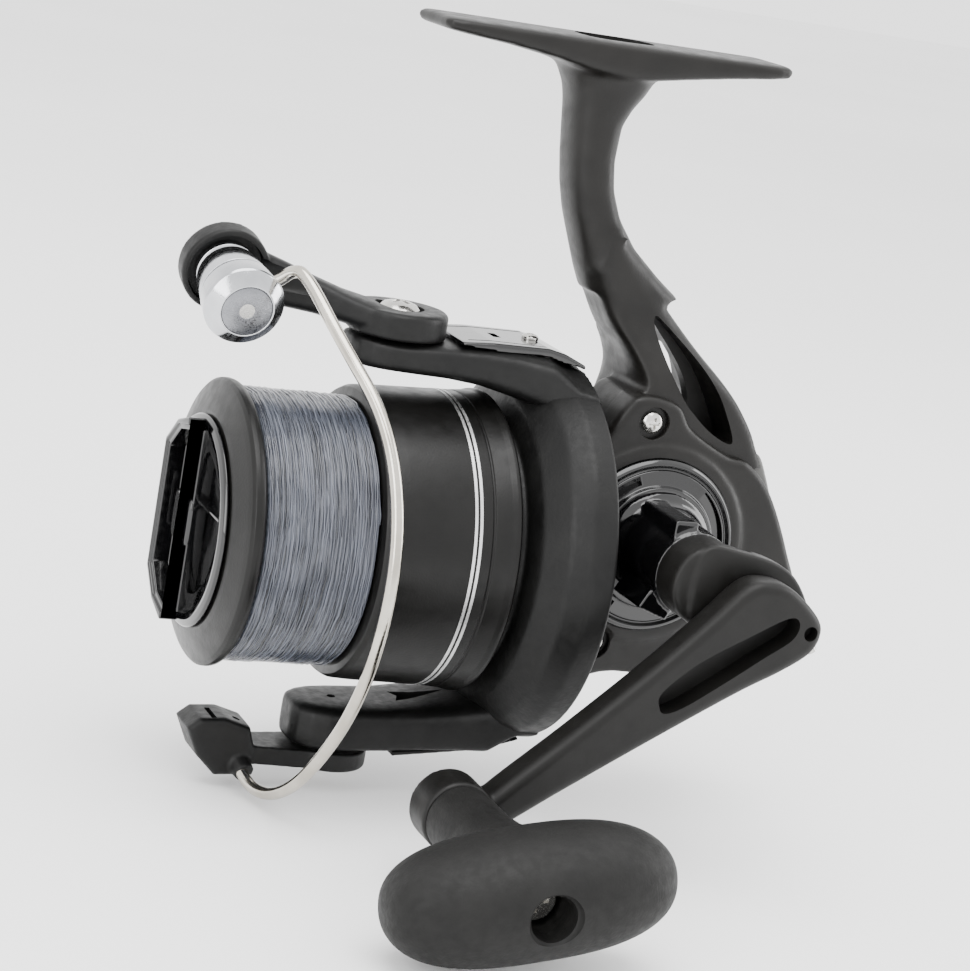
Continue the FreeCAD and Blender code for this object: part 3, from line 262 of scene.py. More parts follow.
class Clay:
    """Closed shapes in mm from the spool's front rim, to be melted into one skin."""

    def __init__(self):
        self.bm = bmesh.new()

    def rings(self, rings):
        rows = [[self.bm.verts.new(point) for point in ring] for ring in rings]
        for low, high in zip(rows, rows[1:]):
            for k in range(len(low)):
                n = (k + 1) % len(low)
                self.bm.faces.new((low[k], low[n], high[n], high[k]))
        self.bm.faces.new(rows[0][::-1])
        self.bm.faces.new(rows[-1])

    def slab(self, outline, near, far):
        """An (x, z) outline run from y = near to y = far."""
        self.rings([[(x, y, z) for x, z in outline] for y in (near, far)])

    def plate(self, outline, low, high):
        """An (x, y) outline run from z = low to z = high."""
        self.rings([[(x, y, z) for x, y in outline] for z in (low, high)])

    def face(self, outline, front, rear):
        """A (y, z) outline run from x = front to x = rear."""
        self.rings([[(x, y, z) for y, z in outline] for x in (front, rear)])

    def turned(self, profile, centre=(0, 0, 0), axis=(1, 0, 0), steps=96):
        """A solid turned about `axis`; the profile is (way along the axis, radius)."""
        axis = Vector(axis).normalized()
        across = axis.orthogonal().normalized()
        other = axis.cross(across)
        self.rings([oval(Vector(centre) + axis * way, across, other, radius, radius, 2.0, steps)
                    for way, radius in profile])

    def mesh(self, name):
        bmesh.ops.recalc_face_normals(self.bm, faces=self.bm.faces)
        mesh = bpy.data.meshes.new(name)
        self.bm.to_mesh(mesh)
        self.bm.free()
        return mesh


def applied(mesh, *modifiers):
    """The mesh as its modifiers leave it; each modifier is (kind, settings)."""
    holder = bpy.data.objects.new(mesh.name, mesh)
    bpy.context.scene.collection.objects.link(holder)
    for kind, settings in modifiers:
        modifier = holder.modifiers.new(kind.lower(), kind)
        for key, value in settings.items():
            setattr(modifier, key, value)
    bpy.context.view_layer.update()
    result = bpy.data.meshes.new_from_object(holder.evaluated_get(bpy.context.evaluated_depsgraph_get()))
    bpy.data.objects.remove(holder)
    return result


def melted(clay, name, voxel, passes):
    """One rounded skin round all of the clay's shapes."""
    return applied(clay.mesh(name), ("REMESH", {"mode": "VOXEL", "voxel_size": voxel}),
                   ("SMOOTH", {"factor": 0.5, "iterations": passes}))


def carved(mesh, cutter_clay, coarse=False):
    """The mesh less the clay; `coarse` for hidden hollows, whose outline may cross itself."""
    shape = melted(cutter_clay, "cutter", 1.1, 0) if coarse else cutter_clay.mesh("cutter")
    cutter = bpy.data.objects.new("cutter", shape)
    bpy.context.scene.collection.objects.link(cutter)
    result = applied(mesh, ("BOOLEAN", {"operation": "DIFFERENCE", "object": cutter, "solver": "MANIFOLD"}))
    bpy.data.objects.remove(cutter)
    return result


def piece(name, mesh, body, slot, *stands_for, sharp=40.0, finish=None):
    """Puts a finished mesh, drawn in mm from the spool's rim, on its body."""
    mesh.transform(Matrix.Scale(MM, 4) @ Matrix.Translation(RIM))
    mesh.materials.clear()
    mesh.materials.append(finish or FINISHES[slot])
    mesh.name = name
    mesh.shade_smooth()
    mesh.set_sharp_from_angle(angle=math.radians(sharp))
    made = bpy.data.objects.new(name, mesh)
    bpy.context.scene.collection.objects.link(made)
    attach(made, body)
    if stands_for:
        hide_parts(*stands_for)
    return made


def lathe(profile, centre=(0, 0, 0), axis=(1, 0, 0), steps=160, closed=True):
    """A turned skin from a closed (way along, radius) profile; points on the axis close it."""
    bm = bmesh.new()
    axis = Vector(axis).normalized()
    across = axis.orthogonal().normalized()
    other = axis.cross(across)
    rings = []
    for way, radius in profile:
        if radius < 1e-6:
            rings.append([bm.verts.new(Vector(centre) + axis * way)])
            continue
        rings.append([bm.verts.new(p) for p in oval(Vector(centre) + axis * way, across, other,
                                                    radius, radius, 2.0, steps)])
    pairs = list(zip(rings, rings[1:])) + ([(rings[-1], rings[0])] if closed else [])
    for low, high in pairs:
        if len(low) == 1 and len(high) == 1:
            continue
        for k in range(steps):
            n = (k + 1) % steps
            if len(low) == 1:
                bm.faces.new((low[0], high[n], high[k]))
            elif len(high) == 1:
                bm.faces.new((low[k], low[n], high[0]))
            else:
                bm.faces.new((low[k], low[n], high[n], high[k]))
    bmesh.ops.recalc_face_normals(bm, faces=bm.faces)
    mesh = bpy.data.meshes.new("turned")
    bm.to_mesh(mesh)
    bm.free()
    return mesh


def eased(profile, radius=0.4, steps=4):
    """The profile with every corner rounded by about `radius`."""
    count, curve = len(profile), []
    for k in range(count):
        before, here, after = (Vector(profile[(k + j) % count]) for j in (-1, 0, 1))
        if here.y < 1e-6:
            curve.append(tuple(here))
            continue
        back, ahead = before - here, after - here
        trim = min(radius, back.length * 0.45, ahead.length * 0.45)
        start, end = here + back.normalized() * trim, here + ahead.normalized() * trim
        for s in range(steps + 1):
            t = s / steps
            curve.append(tuple(start * (1 - t) ** 2 + here * 2 * t * (1 - t) + end * t * t))
    return curve


def inset(loop, distance):
    """The loop moved inwards by `distance`."""
    area = sum(a[0] * b[1] - b[0] * a[1] for a, b in zip(loop, loop[1:] + loop[:1]))
    side = 1.0 if area > 0 else -1.0
    moved = []
    for k, point in enumerate(loop):
        run = Vector(loop[(k + 1) % len(loop)]) - Vector(loop[k - 1])
        inward = Vector((-run.y, run.x)).normalized() * side
        moved.append((point[0] + inward.x * distance, point[1] + inward.y * distance))
    return moved


def pillow(clay, loop, near, far, ease):
    """A slab whose edges are rounded over by `ease`."""
    steps = 5
    levels = []
    for k in range(steps + 1):
        turn = math.pi / 2 * k / steps
        levels.append((ease * (1 - math.sin(turn)), ease * (1 - math.cos(turn))))
    rings = []
    for edge, depth in ((near, 1.0), (far, -1.0)):
        side = [[(x, edge + depth * into, z) for x, z in inset(loop, shrink)]
                for shrink, into in levels]
        rings += side if depth > 0 else side[::-1]
    clay.rings(rings)


def beam(clay, stations, power=3.0):
    """A shape lofted along x: (x, low z, high z, half width in y) at each station."""
    clay.rings([oval((x, 0.0, (low + high) / 2), (0, 1, 0), (0, 0, 1), half, (high - low) / 2, power)
                for x, low, high, half in stations])


# ---------------------------------------------------------------- fixed body
BODY_SIDE = [(56.0, -17.5), (70.0, -18.2), (86.0, -18.3), (97.4, -14.0), (102.4, -3.4), (99.2, 5.6),
             (93.8, 15.4), (88.6, 20.4), (84.0, 21.6), (76.4, 25.6), (73.0, 29.6), (66.0, 30.6),
             (63.2, 28.3), (60.0, 22.4), (56.0, 19.0)]
FAR_SIDE = BODY_SIDE[:7] + [(88.0, 20.4), (80.0, 21.0), (70.5, 19.5), (60.0, 17.0), (56.0, 16.5)]
CRANK = (71.7, 0.0, 5.3)
COVER_SCREWS = [(68.6, 26.2), (65.2, -13.0), (88.0, -14.9)]
COVER_FACE = -14.0
JOINT = -6.0
TO_NEAR = (0, -1, 0)


def body_shell():
    """Foot, stem, open web and the far half of the body, with its cavities."""
    clay = Clay()
    foot = [(22.3, 86.2, 6.8), (23.2, 85.9, 7.9), (26.0, 85.6, 8.3), (34.0, 84.9, 8.3), (42.0, 83.8, 8.3),
            (48.0, 82.6, 8.3), (54.0, 82.0, 8.3), (60.0, 82.2, 8.3), (66.0, 83.2, 8.3), (75.0, 84.6, 8.3),
            (82.0, 85.5, 8.3), (84.8, 85.9, 7.9), (85.7, 86.2, 6.8)]
    beam(clay, [(x, low, 88.0, half) for x, low, half in foot], 7.0)
    stem = [(85.0, 54.4, 9.8, 7.4), (82.5, 54.5, 8.4, 7.0), (79.6, 54.6, 6.9, 6.4), (77.0, 54.0, 5.6, 6.1),
            (74.0, 53.5, 4.7, 5.8), (68.0, 53.8, 4.2, 5.6), (63.0, 54.7, 4.2, 5.5), (58.4, 56.4, 4.6, 5.5),
            (53.7, 59.2, 5.5, 5.7), (49.0, 63.0, 7.4, 5.9), (45.5, 66.3, 9.0, 6.0)]
    clay.rings([oval((x, 0.0, z), (1, 0, 0), (0, 1, 0), long, wide, 2.6) for z, x, long, wide in stem])
    web = [(56.4, 50.5), (57.6, 48.0), (61.4, 41.3), (64.9, 36.4), (66.9, 32.1), (66.7, 27.6),
           (64.4, 22.9), (60.8, 19.0), (57.0, 13.0), (62.0, 2.0), (88.0, 2.0), (94.0, 15.0), (90.8, 23.6),
           (87.4, 28.8), (83.2, 33.4), (78.0, 38.2), (72.6, 43.6), (68.4, 47.6), (64.4, 52.0),
           (61.4, 55.8), (59.8, 57.6)]
    pillow(clay, smooth_loop(web), -6.2, 6.2, 2.4)
    pillow(clay, smooth_loop(BODY_SIDE, 6), JOINT, 2.0, 0.3)
    pillow(clay, smooth_loop(FAR_SIDE, 6), -2.0, 14.0, 3.0)
    clay.turned([(43.2, 9.6), (43.5, 10.2), (53.6, 10.2), (53.6, 25.4), (54.0, 26.0), (57.0, 26.0)])
    mesh = melted(clay, "body_shell", 0.62, 7)
    for vertex in mesh.vertices:
        x, y, z = vertex.co
        if y < -2.5 and 19.0 < z < 46.0:
            flare = min(1.0, max(0.0, (45.0 - z) / 15.0))
            vertex.co.y -= 5.4 * flare * flare * (3 - 2 * flare) * min(1.0, (-2.5 - y) / 3.0)
        if 64.0 < x < 95.0 and y > 2.5 and 19.0 < z < 46.0:
            flare = min(1.0, max(0.0, (45.0 - z) / 18.0))
            vertex.co.y += 4.0 * flare * flare * (3 - 2 * flare) * min(1.0, (y - 2.5) / 3.0)
    opening = smooth_loop([(68.6, 42.6), (71.8, 39.8), (77.0, 33.8), (79.4, 28.8), (78.2, 27.2),
                           (74.6, 30.2), (70.8, 36.4)], 6)
    recess = smooth_loop([(68.8, 43.2), (73.2, 40.2), (78.8, 34.8), (83.0, 28.6), (85.2, 23.4),
                          (80.4, 25.2), (75.2, 29.8), (70.8, 36.4)], 6)
    behind = [(x + 3.4, z) for x, z in opening]
    cavity = inset(smooth_loop(BODY_SIDE[:6] + [(93.4, 14.6), (84.0, 20.4), (76.0, 22.6), (66.0, 22.2),
                                                 (61.4, 21.0), (57.0, 15.0)], 4), 1.9)
    far_cavity = inset(smooth_loop(FAR_SIDE, 4), 1.9)
    for shape, near, far in ((opening, -16.0, 16.0), (recess, -16.0, -3.4), (behind, -1.0, 16.0),
                             (recess, 5.4, 16.0), (cavity, -16.0, 0.0), (far_cavity, -0.5, 12.1)):
        cut = Clay()
        cut.slab(shape, near, far)
        mesh = carved(mesh, cut, coarse=shape in (cavity, far_cavity))
    cut = Clay()
    cut.turned([(42.0, 8.4), (49.9, 8.4), (49.9, 7.0), (53.9, 7.0), (53.9, 5.0), (60.0, 5.0)])
    mesh = carved(mesh, cut)
    cut = Clay()
    pocket = [(49.5, -4.2), (58.5, -4.2), (61.5, -2.0), (61.5, 2.0), (58.5, 4.2), (49.5, 4.2)]
    cut.plate(smooth_loop(pocket), 86.4, 89.0)
    mesh = carved(mesh, cut)
    return piece("body_shell", mesh, "housing", "body_satin", "body_housing")


def guard_strip():
    """The pale strip that wraps the body's rear edge."""
    edge = smooth_loop([(91.6, 21.6), (93.9, 17.6), (96.6, 11.6), (99.6, 5.6), (101.4, 0.6),
                        (102.9, -3.6), (101.4, -7.0), (99.4, -10.6), (97.0, -10.6), (95.0, 0.0),
                        (92.0, 10.0), (90.0, 20.0)], 5)
    clay = Clay()
    pillow(clay, edge, -11.0, 11.0, 0.8)
    mesh = melted(clay, "guard_strip", 0.4, 3)
    return piece("guard_strip", mesh, "housing", "guard_grey", "rear_guard")


def cover_shell():
    """The near side cover, with the hub's ring and the screws' recesses."""
    clay = Clay()
    pillow(clay, smooth_loop(BODY_SIDE, 6), COVER_FACE, JOINT - 0.05, 1.3)
    clay.turned([(13.0, 17.6), (14.5, 17.4), (14.9, 16.8), (14.9, 14.0)], CRANK, TO_NEAR)
    mesh = melted(clay, "cover_shell", 0.5, 3)
    for radius, low, high in ((15.35, 14.05, 16.0), (12.0, 2.0, 12.1)):
        cut = Clay()
        cut.turned([(low, radius), (high, radius)], CRANK, TO_NEAR)
        mesh = carved(mesh, cut)
    cut = Clay()
    for x, z in COVER_SCREWS:
        cut.turned([(12.9, 2.7), (13.9, 2.8), (15.0, 3.6)], (x, 0.0, z), TO_NEAR, 48)
    mesh = carved(mesh, cut)
    cut = Clay()
    cut.slab(inset(smooth_loop(BODY_SIDE[:7] + [(85.0, 17.0), (66.0, 19.0), (60.0, 15.0)], 4), 2.0),
             -12.1, 0.0)
    mesh = carved(mesh, cut, coarse=True)
    return piece("cover_shell", mesh, "housing", "body_satin", "side_cover")


def arc_slot(clay, inner, outer, start, end, near, far):
    """A curved slot about the crank, from `start` to `end` degrees."""
    turns = [math.radians(start + (end - start) * k / 16) for k in range(17)]
    loop = [(CRANK[0] + outer * math.cos(t), CRANK[2] + outer * math.sin(t)) for t in turns]
    loop += [(CRANK[0] + inner * math.cos(t), CRANK[2] + inner * math.sin(t)) for t in turns[::-1]]
    clay.slab(loop, near, far)


def hub_dial():
    """The glossy stepped plate round the crank, with three curved slots."""
    profile = [(14.1, 7.9), (14.1, 15.2), (15.4, 15.2), (16.0, 14.6), (16.0, 14.1), (15.6, 13.9),
               (15.6, 13.5), (16.0, 13.3), (16.1, 10.9), (17.0, 10.5), (17.0, 9.4), (16.5, 8.9),
               (16.5, 7.9)]
    mesh = lathe(eased(profile, 0.22, 3), CRANK, TO_NEAR, 144)
    for start, end in ((112, 158), (4, 52), (206, 242)):
        cut = Clay()
        arc_slot(cut, 11.4, 13.0, start, end, -17.0, -15.0)
        mesh = carved(mesh, cut)
    return piece("hub_dial", mesh, "housing", "gloss_black", "hub_plate", sharp=30.0)


# ---------------------------------------------------------------- crank, arm and knob
KNOB = (31.0, 0.0, -33.3)
SHANK_END = 39.9
ARM_FACE = SHANK_END + 0.3
ARM_OUT = ARM_FACE + 6.6


def gloss_sleeve():
    """The flared sleeve on the crank, with its key bar and lug."""
    clay = Clay()
    clay.turned([(17.15, 10.0), (17.6, 9.9), (18.4, 8.6), (19.6, 7.9), (22.0, 7.6), (28.6, 7.3),
                 (32.4, 7.1)], CRANK, TO_NEAR)
    x, _, z = CRANK
    clay.plate([(x - 4.6, -18.6), (x - 0.4, -18.6), (x - 0.4, -31.6), (x - 4.6, -31.6)], z + 4.0, z + 8.7)
    clay.slab([(x - 8.4, z - 6.6), (x - 3.0, z - 8.6), (x - 1.0, z - 4.0), (x - 6.0, z - 2.0)], -31.0, -20.5)
    mesh = melted(clay, "gloss_sleeve", 0.3, 3)
    return piece("gloss_sleeve", mesh, "crank", "gloss_black", "shank_sleeve", sharp=60.0)


def shank_collar():
    """The matte collar and the block that carries the folding joint."""
    clay = Clay()
    clay.turned([(32.0, 6.9), (32.4, 7.0), (38.9, 7.0), (39.4, 6.5)], CRANK, TO_NEAR)
    lug = smooth_loop([(68.7, -0.9), (68.7, 11.3), (76.7, 11.5), (85.3, 8.9), (90.1, 2.9), (90.3, -1.1),
                       (87.0, -3.0), (77.7, -2.1)], 5)
    pillow(clay, lug, -SHANK_END, -35.6, 0.7)
    mesh = melted(clay, "shank_collar", 0.34, 3)
    cut = Clay()
    cut.slab([(73.2, 9.9), (77.0, 12.8), (80.6, 13.0), (76.8, 9.2)], -37.6, -34.4)
    mesh = carved(mesh, cut)
    return piece("shank_collar", mesh, "crank", "handle_satin", "handle_shank")


def crank_arm():
    """The handle's arm, with its long slot and the pin's hole."""
    clay = Clay()
    side = smooth_loop([(34.6, -32.6), (36.6, -29.2), (48.0, -18.9), (60.0, -7.6), (68.6, 1.2), (74.6, 7.6),
                        (79.0, 8.6), (83.4, 7.4), (88.6, 3.2), (89.7, 0.2), (88.2, -3.2), (83.4, -6.6),
                        (76.6, -10.4), (63.5, -18.6), (48.7, -28.2), (38.4, -35.0), (35.2, -35.2)], 6)
    pillow(clay, side, -ARM_OUT, -ARM_FACE, 1.7)
    clay.turned([(ARM_FACE - 0.6, 5.7), (ARM_FACE - 0.2, 6.1), (ARM_OUT - 0.3, 6.1), (ARM_OUT, 5.8)],
                KNOB, TO_NEAR)
    mesh = melted(clay, "crank_arm", 0.4, 4)
    slot = smooth_loop([(62.3, -13.2), (62.4, -10.6), (68.0, -5.4), (76.0, -0.6), (82.6, 3.0), (84.8, 2.2),
                        (84.0, -0.6), (79.4, -4.0), (73.4, -8.4), (67.0, -12.8), (63.6, -14.2)], 6)
    cut = Clay()
    cut.slab(slot, -50.0, -42.6)
    mesh = carved(mesh, cut)
    cut = Clay()
    cut.turned([(44.4, 1.25), (50.0, 1.25)], (87.2, 0.0, 0.6), TO_NEAR, 32)
    mesh = carved(mesh, cut)
    return piece("crank_arm", mesh, "arm", "handle_satin", "handle_arm")


def tee_grip():
    """The soft T grip and its neck, open at the front for the screw."""
    tilt = math.radians(10.0)
    along, up = Vector((math.cos(tilt), 0, math.sin(tilt))), Vector((-math.sin(tilt), 0, math.cos(tilt)))
    middle = Vector(KNOB) + Vector((0.0, -76.2, 0.0))
    half, deep, tall, count = 23.2, 10.9, 9.7, 40
    clay = Clay()
    rings = []
    for k in range(count + 1):
        way = -math.cos(math.pi * (0.02 + 0.96 * k / count))
        swell = (1 - abs(way) ** 2.7) ** (1 / 2.5)
        rings.append(oval(middle + along * half * way, (0, 1, 0), up, deep * swell, tall * swell, 2.25, 64))
    clay.rings(rings)
    clay.turned([(46.6, 5.5), (47.0, 5.8), (58.0, 5.9), (64.0, 6.6), (70.0, 8.2)], KNOB, TO_NEAR)
    mesh = melted(clay, "tee_grip", 0.42, 6)
    cut = Clay()
    cut.turned([(77.8, 3.7), (86.0, 3.7), (86.4, 4.1), (90.0, 5.6)], KNOB, TO_NEAR)
    mesh = carved(mesh, cut)
    cut = Clay()
    cut.turned([(46.0, 3.5), (77.0, 3.5)], KNOB, TO_NEAR, 48)
    mesh = carved(mesh, cut)
    return piece("tee_grip", mesh, "knob", "soft_knob", "handle_knob")


# ---------------------------------------------------------------- rotor and bail
ROLLER = (-4.5, 0.0, 40.2)
ROLLER_AXIS = Vector((0.0, -math.cos(math.radians(15.0)), -math.sin(math.radians(15.0))))
PIVOT_X = 25.0
LIP_FRONT = 53.0
ROTOR_SWEEP = 33.4


def rotor_cup():
    """The rotor's turned cup and rear lip."""
    profile = [(39.8, 3.2), (39.8, 21.0), (41.0, 22.5), (45.6, 22.5), (46.6, 26.8), (50.0, 31.0),
               (53.4, 32.9), (57.5, 33.0), (57.5, 31.2), (54.0, 31.2), (51.0, 29.4), (48.6, 25.8),
               (47.4, 21.2), (46.0, 20.6), (42.0, 20.6), (42.0, 3.2)]
    return piece("rotor_cup", lathe(eased(profile, 0.7, 4)), "rotor_body", "satin_black", sharp=50.0)


def held_in(point):
    """Pulls a point back inside the rotor's sweep."""
    reach = math.hypot(point.y, point.z)
    if reach > ROTOR_SWEEP:
        point.y *= ROTOR_SWEEP / reach
        point.z *= ROTOR_SWEEP / reach
    return point


def rotor_arm(clay, side, stations):
    """One arm, lofted along x from (x, low, high, half width) on the `side` of z."""
    rings = []
    for x, low, high, half in stations:
        middle = (x, 0.0, side * (low + high) / 2)
        ring = oval(middle, (0, 1, 0), (0, 0, 1), half, (high - low) / 2, 4.5, 64)
        rings.append([held_in(point) for point in ring] if x > LIP_FRONT else ring)
    clay.rings(rings)


def rotor_arms():
    """Both arms of the rotor, hollowed where the cup runs."""
    clay = Clay()
    rotor_arm(clay, 1, [(16.7, 29.8, 33.9, 2.4), (17.4, 29.5, 34.2, 4.5), (19.4, 29.3, 34.3, 6.5),
                        (22.0, 29.2, 34.3, 7.8), (25.5, 29.1, 34.3, 8.4), (33.0, 28.8, 34.6, 8.5),
                        (39.0, 28.2, 34.8, 9.0), (44.5, 27.0, 34.8, 10.2), (50.0, 25.4, 34.4, 12.4),
                        (54.0, 24.0, 33.4, 14.6), (57.3, 23.4, 32.6, 15.4)])
    rotor_arm(clay, -1, [(16.7, 30.2, 36.6, 2.4), (17.4, 29.8, 37.0, 4.5), (19.4, 29.6, 37.3, 6.5),
                         (22.0, 29.5, 37.3, 7.8), (25.5, 29.4, 37.3, 8.4), (33.0, 29.2, 37.0, 8.5),
                         (39.0, 28.6, 36.4, 9.2), (44.5, 27.4, 35.8, 10.6), (50.0, 25.4, 35.2, 12.8),
                         (54.0, 24.0, 33.4, 14.8), (57.3, 23.4, 32.6, 15.4)])
    mesh = melted(clay, "rotor_arms", 0.45, 3)
    cut = Clay()
    cut.turned([(44.0, 20.6), (48.6, 25.8), (51.0, 29.4), (54.0, 31.2), (60.0, 31.2)], steps=128)
    mesh = carved(mesh, cut)
    cut = Clay()
    cut.plate([(35.4, -2.4), (44.8, 0.0), (35.4, 2.4), (36.4, 0.0)], -30.4, -27.0)
    cut.turned([(27.0, 0.75), (31.0, 0.75)], (24.4, 0.0, 0.0), (0, 0, -1), 32)
    mesh = carved(mesh, cut)
    return piece("rotor_arms", mesh, "rotor_body", "satin_black", "rotor")


def arm_lids():
    """The glossy lid over the bail spring and the lid over the balance weight."""
    clay = Clay()
    pillow(clay, [(34.4, 34.95), (34.4, 35.6), (40.0, 35.95), (50.2, 35.9), (53.4, 35.2), (57.2, 33.6),
                  (57.2, 32.9), (50.0, 34.9)], -7.6, 7.6, 0.45)
    mesh = melted(clay, "spring_lid", 0.28, 2)
    cut = Clay()
    cut.plate([(42.0, -1.6), (43.4, -1.6), (43.4, 1.6), (42.0, 1.6)], 35.3, 37.0)
    cut.plate([(36.0, 5.0), (50.0, 5.6), (50.0, 6.1), (36.0, 5.5)], 35.45, 37.0)
    cut.plate([(36.0, -5.5), (50.0, -6.1), (50.0, -5.6), (36.0, -5.0)], 35.45, 37.0)
    mesh = carved(mesh, cut)
    piece("spring_lid", mesh, "rotor_body", "gloss_black", "spring_cover", sharp=50.0)
    clay = Clay()
    pillow(clay, [(34.4, -37.3), (34.4, -36.4), (50.0, -34.95), (57.2, -32.9), (57.2, -33.5),
                  (50.2, -35.6)], -7.6, 7.6, 0.4)
    piece("balance_lid", melted(clay, "balance_lid", 0.28, 2), "rotor_body", "satin_black",
          "balance_cover", sharp=50.0)


def bail_bracket():
    """The channelled arm that carries the roller."""
    clay = Clay()
    path = [((25.0, 0.0, 36.9), 7.9, 2.3), ((20.5, 0.7, 37.2), 7.4, 2.4), ((16.0, 2.2, 37.9), 5.9, 2.6),
            ((11.0, 3.9, 39.0), 4.2, 3.0), ((6.0, 5.2, 40.0), 3.1, 3.7), ((1.0, 5.9, 40.7), 2.5, 4.6),
            ((-3.0, 6.2, 41.0), 2.2, 5.4)]
    clay.rings([oval(centre, (0, 1, 0), (0, 0, 1), wide, tall, 3.0) for centre, wide, tall in path])
    clay.turned([(34.6, 8.0), (34.9, 8.4), (38.6, 8.4), (39.2, 7.7)], (PIVOT_X, 0, 0), (0, 0, 1))
    clay.turned([(-8.2, 6.6), (-7.6, 7.3), (-4.1, 7.4), (-3.7, 7.1)], ROLLER, ROLLER_AXIS)
    mesh = melted(clay, "bail_bracket", 0.34, 4)
    cut = Clay()
    cut.turned([(37.6, 4.1), (39.0, 4.2), (41.0, 4.5)], (PIVOT_X, 0, 0), (0, 0, 1), 48)
    mesh = carved(mesh, cut)
    cut = Clay()
    groove = [((14.5, -4.3, 40.2), 0.9, 1.0), ((11.0, -1.2, 40.6), 1.3, 1.5), ((6.0, 1.6, 41.2), 1.3, 2.1),
              ((1.0, 2.9, 41.4), 1.3, 2.8), ((-0.5, 3.4, 41.4), 1.3, 3.2)]
    cut.rings([oval(centre, (0, 1, 0), (0, 0, 1), wide, tall, 3.0, 32) for centre, wide, tall in groove])
    mesh = carved(mesh, cut)
    cut = Clay()
    cut.turned([(-5.0, 6.2), (-3.0, 6.6)], ROLLER, ROLLER_AXIS, 64)
    mesh = carved(mesh, cut)
    return piece("bail_bracket", mesh, "bail", "satin_black", "bail_arm")


def roller_and_cap():
    """The line roller, and the polished cap with its darker face."""
    guide = [(-4.9, 1.7), (-4.9, 4.8), (-4.5, 5.1), (-3.6, 5.1), (-3.3, 4.5), (-2.8, 4.5), (-2.5, 5.3),
             (3.7, 6.1), (3.7, 1.7)]
    piece("line_guide", lathe(eased(guide, 0.15, 3), ROLLER, ROLLER_AXIS, 128), "roller", "roller_chrome",
          "line_roller")
    cap = [(4.1, 1.7), (4.1, 6.15), (4.5, 6.3), (8.3, 6.7), (8.7, 6.5), (10.5, 4.5), (10.5, 4.25),
           (9.8, 4.2), (9.8, 1.7)]
    mesh = lathe(eased(cap, 0.12, 3), ROLLER, ROLLER_AXIS, 144)
    piece("cap_shell", mesh, "bail", "roller_chrome", "roller_cap", sharp=50.0)
    face = lathe([(9.85, 0.0), (9.85, 4.15), (10.35, 4.15), (10.45, 4.0), (10.45, 1.3), (10.15, 1.1),
                  (10.05, 0.0)], ROLLER, ROLLER_AXIS, 96)
    piece("cap_face", face, "bail", "bright_steel", finish=CAP_FACE)


def bail_hoop():
    """The sprung wire from the roller's cap round to the lever."""
    route = [(-0.4, -5.6, 41.4), (1.2, -6.4, 42.3), (2.6, -7.9, 44.4), (3.9, -10.8, 44.9),
             (8.0, -20.0, 36.6), (14.2, -31.5, 26.0), (15.7, -40.0, 11.0), (15.1, -41.4, -6.0),
             (14.6, -35.2, -21.2),
             (12.6, -25.6, -34.8), (11.2, -17.6, -41.2), (9.6, -10.4, -43.4), (8.2, -5.0, -41.6),
             (7.4, -2.0, -39.0)]
    curve = bpy.data.curves.new("bail_hoop", "CURVE")
    curve.dimensions = "3D"
    spline = curve.splines.new("NURBS")
    spline.points.add(len(route) - 1)
    for point, place in zip(spline.points, route):
        point.co = (*place, 1.0)
    spline.order_u = 3
    spline.use_endpoint_u = True
    spline.resolution_u = 12
    curve.bevel_depth = 1.05
    curve.bevel_resolution = 5
    curve.use_fill_caps = True
    holder = bpy.data.objects.new("bail_hoop", curve)
    bpy.context.scene.collection.objects.link(holder)
    bpy.context.view_layer.update()
    mesh = bpy.data.meshes.new_from_object(holder.evaluated_get(bpy.context.evaluated_depsgraph_get()))
    bpy.data.objects.remove(holder)
    return piece("bail_hoop", mesh, "bail", "wire_nickel", "bail_wire", sharp=60.0)


def lever_block():
    """The chunky lever at the wire's lower end, with its pivot disc."""
    clay = Clay()
    block = [(-1.5, -35.0), (0.6, -33.2), (5.0, -33.0), (9.6, -34.4), (11.0, -38.6), (10.6, -41.0),
             (8.2, -43.0), (4.4, -43.2), (0.8, -39.8)]
    pillow(clay, block, -4.4, 4.4, 1.1)
    clay.plate([(8.0, -3.6), (PIVOT_X, -5.8), (PIVOT_X, 5.8), (8.0, 3.6)], -41.0, -37.8)
    clay.turned([(37.7, 6.7), (38.0, 7.0), (40.6, 7.0), (41.0, 6.6)], (PIVOT_X, 0, 0), (0, 0, -1))
    clay.turned([(-1.2, 1.9), (1.7, 1.75)], (8.6, -4.4, -41.2), (0.28, -0.86, -0.42), 48)
    mesh = melted(clay, "lever_block", 0.34, 2)
    cut = Clay()
    cut.turned([(39.6, 4.2), (42.0, 4.4)], (PIVOT_X, 0, 0), (0, 0, -1), 48)
    cut.slab([(2.6, -32.0), (3.5, -32.0), (3.5, -34.2), (2.6, -34.2)], -3.4, 1.6)
    cut.turned([(31.0, 0.7), (36.0, 0.7)], (7.6, -1.2, 0.0), (0, 0, -1), 24)
    mesh = carved(mesh, cut)
    return piece("lever_block", mesh, "bail", "satin_black", "bail_lever")


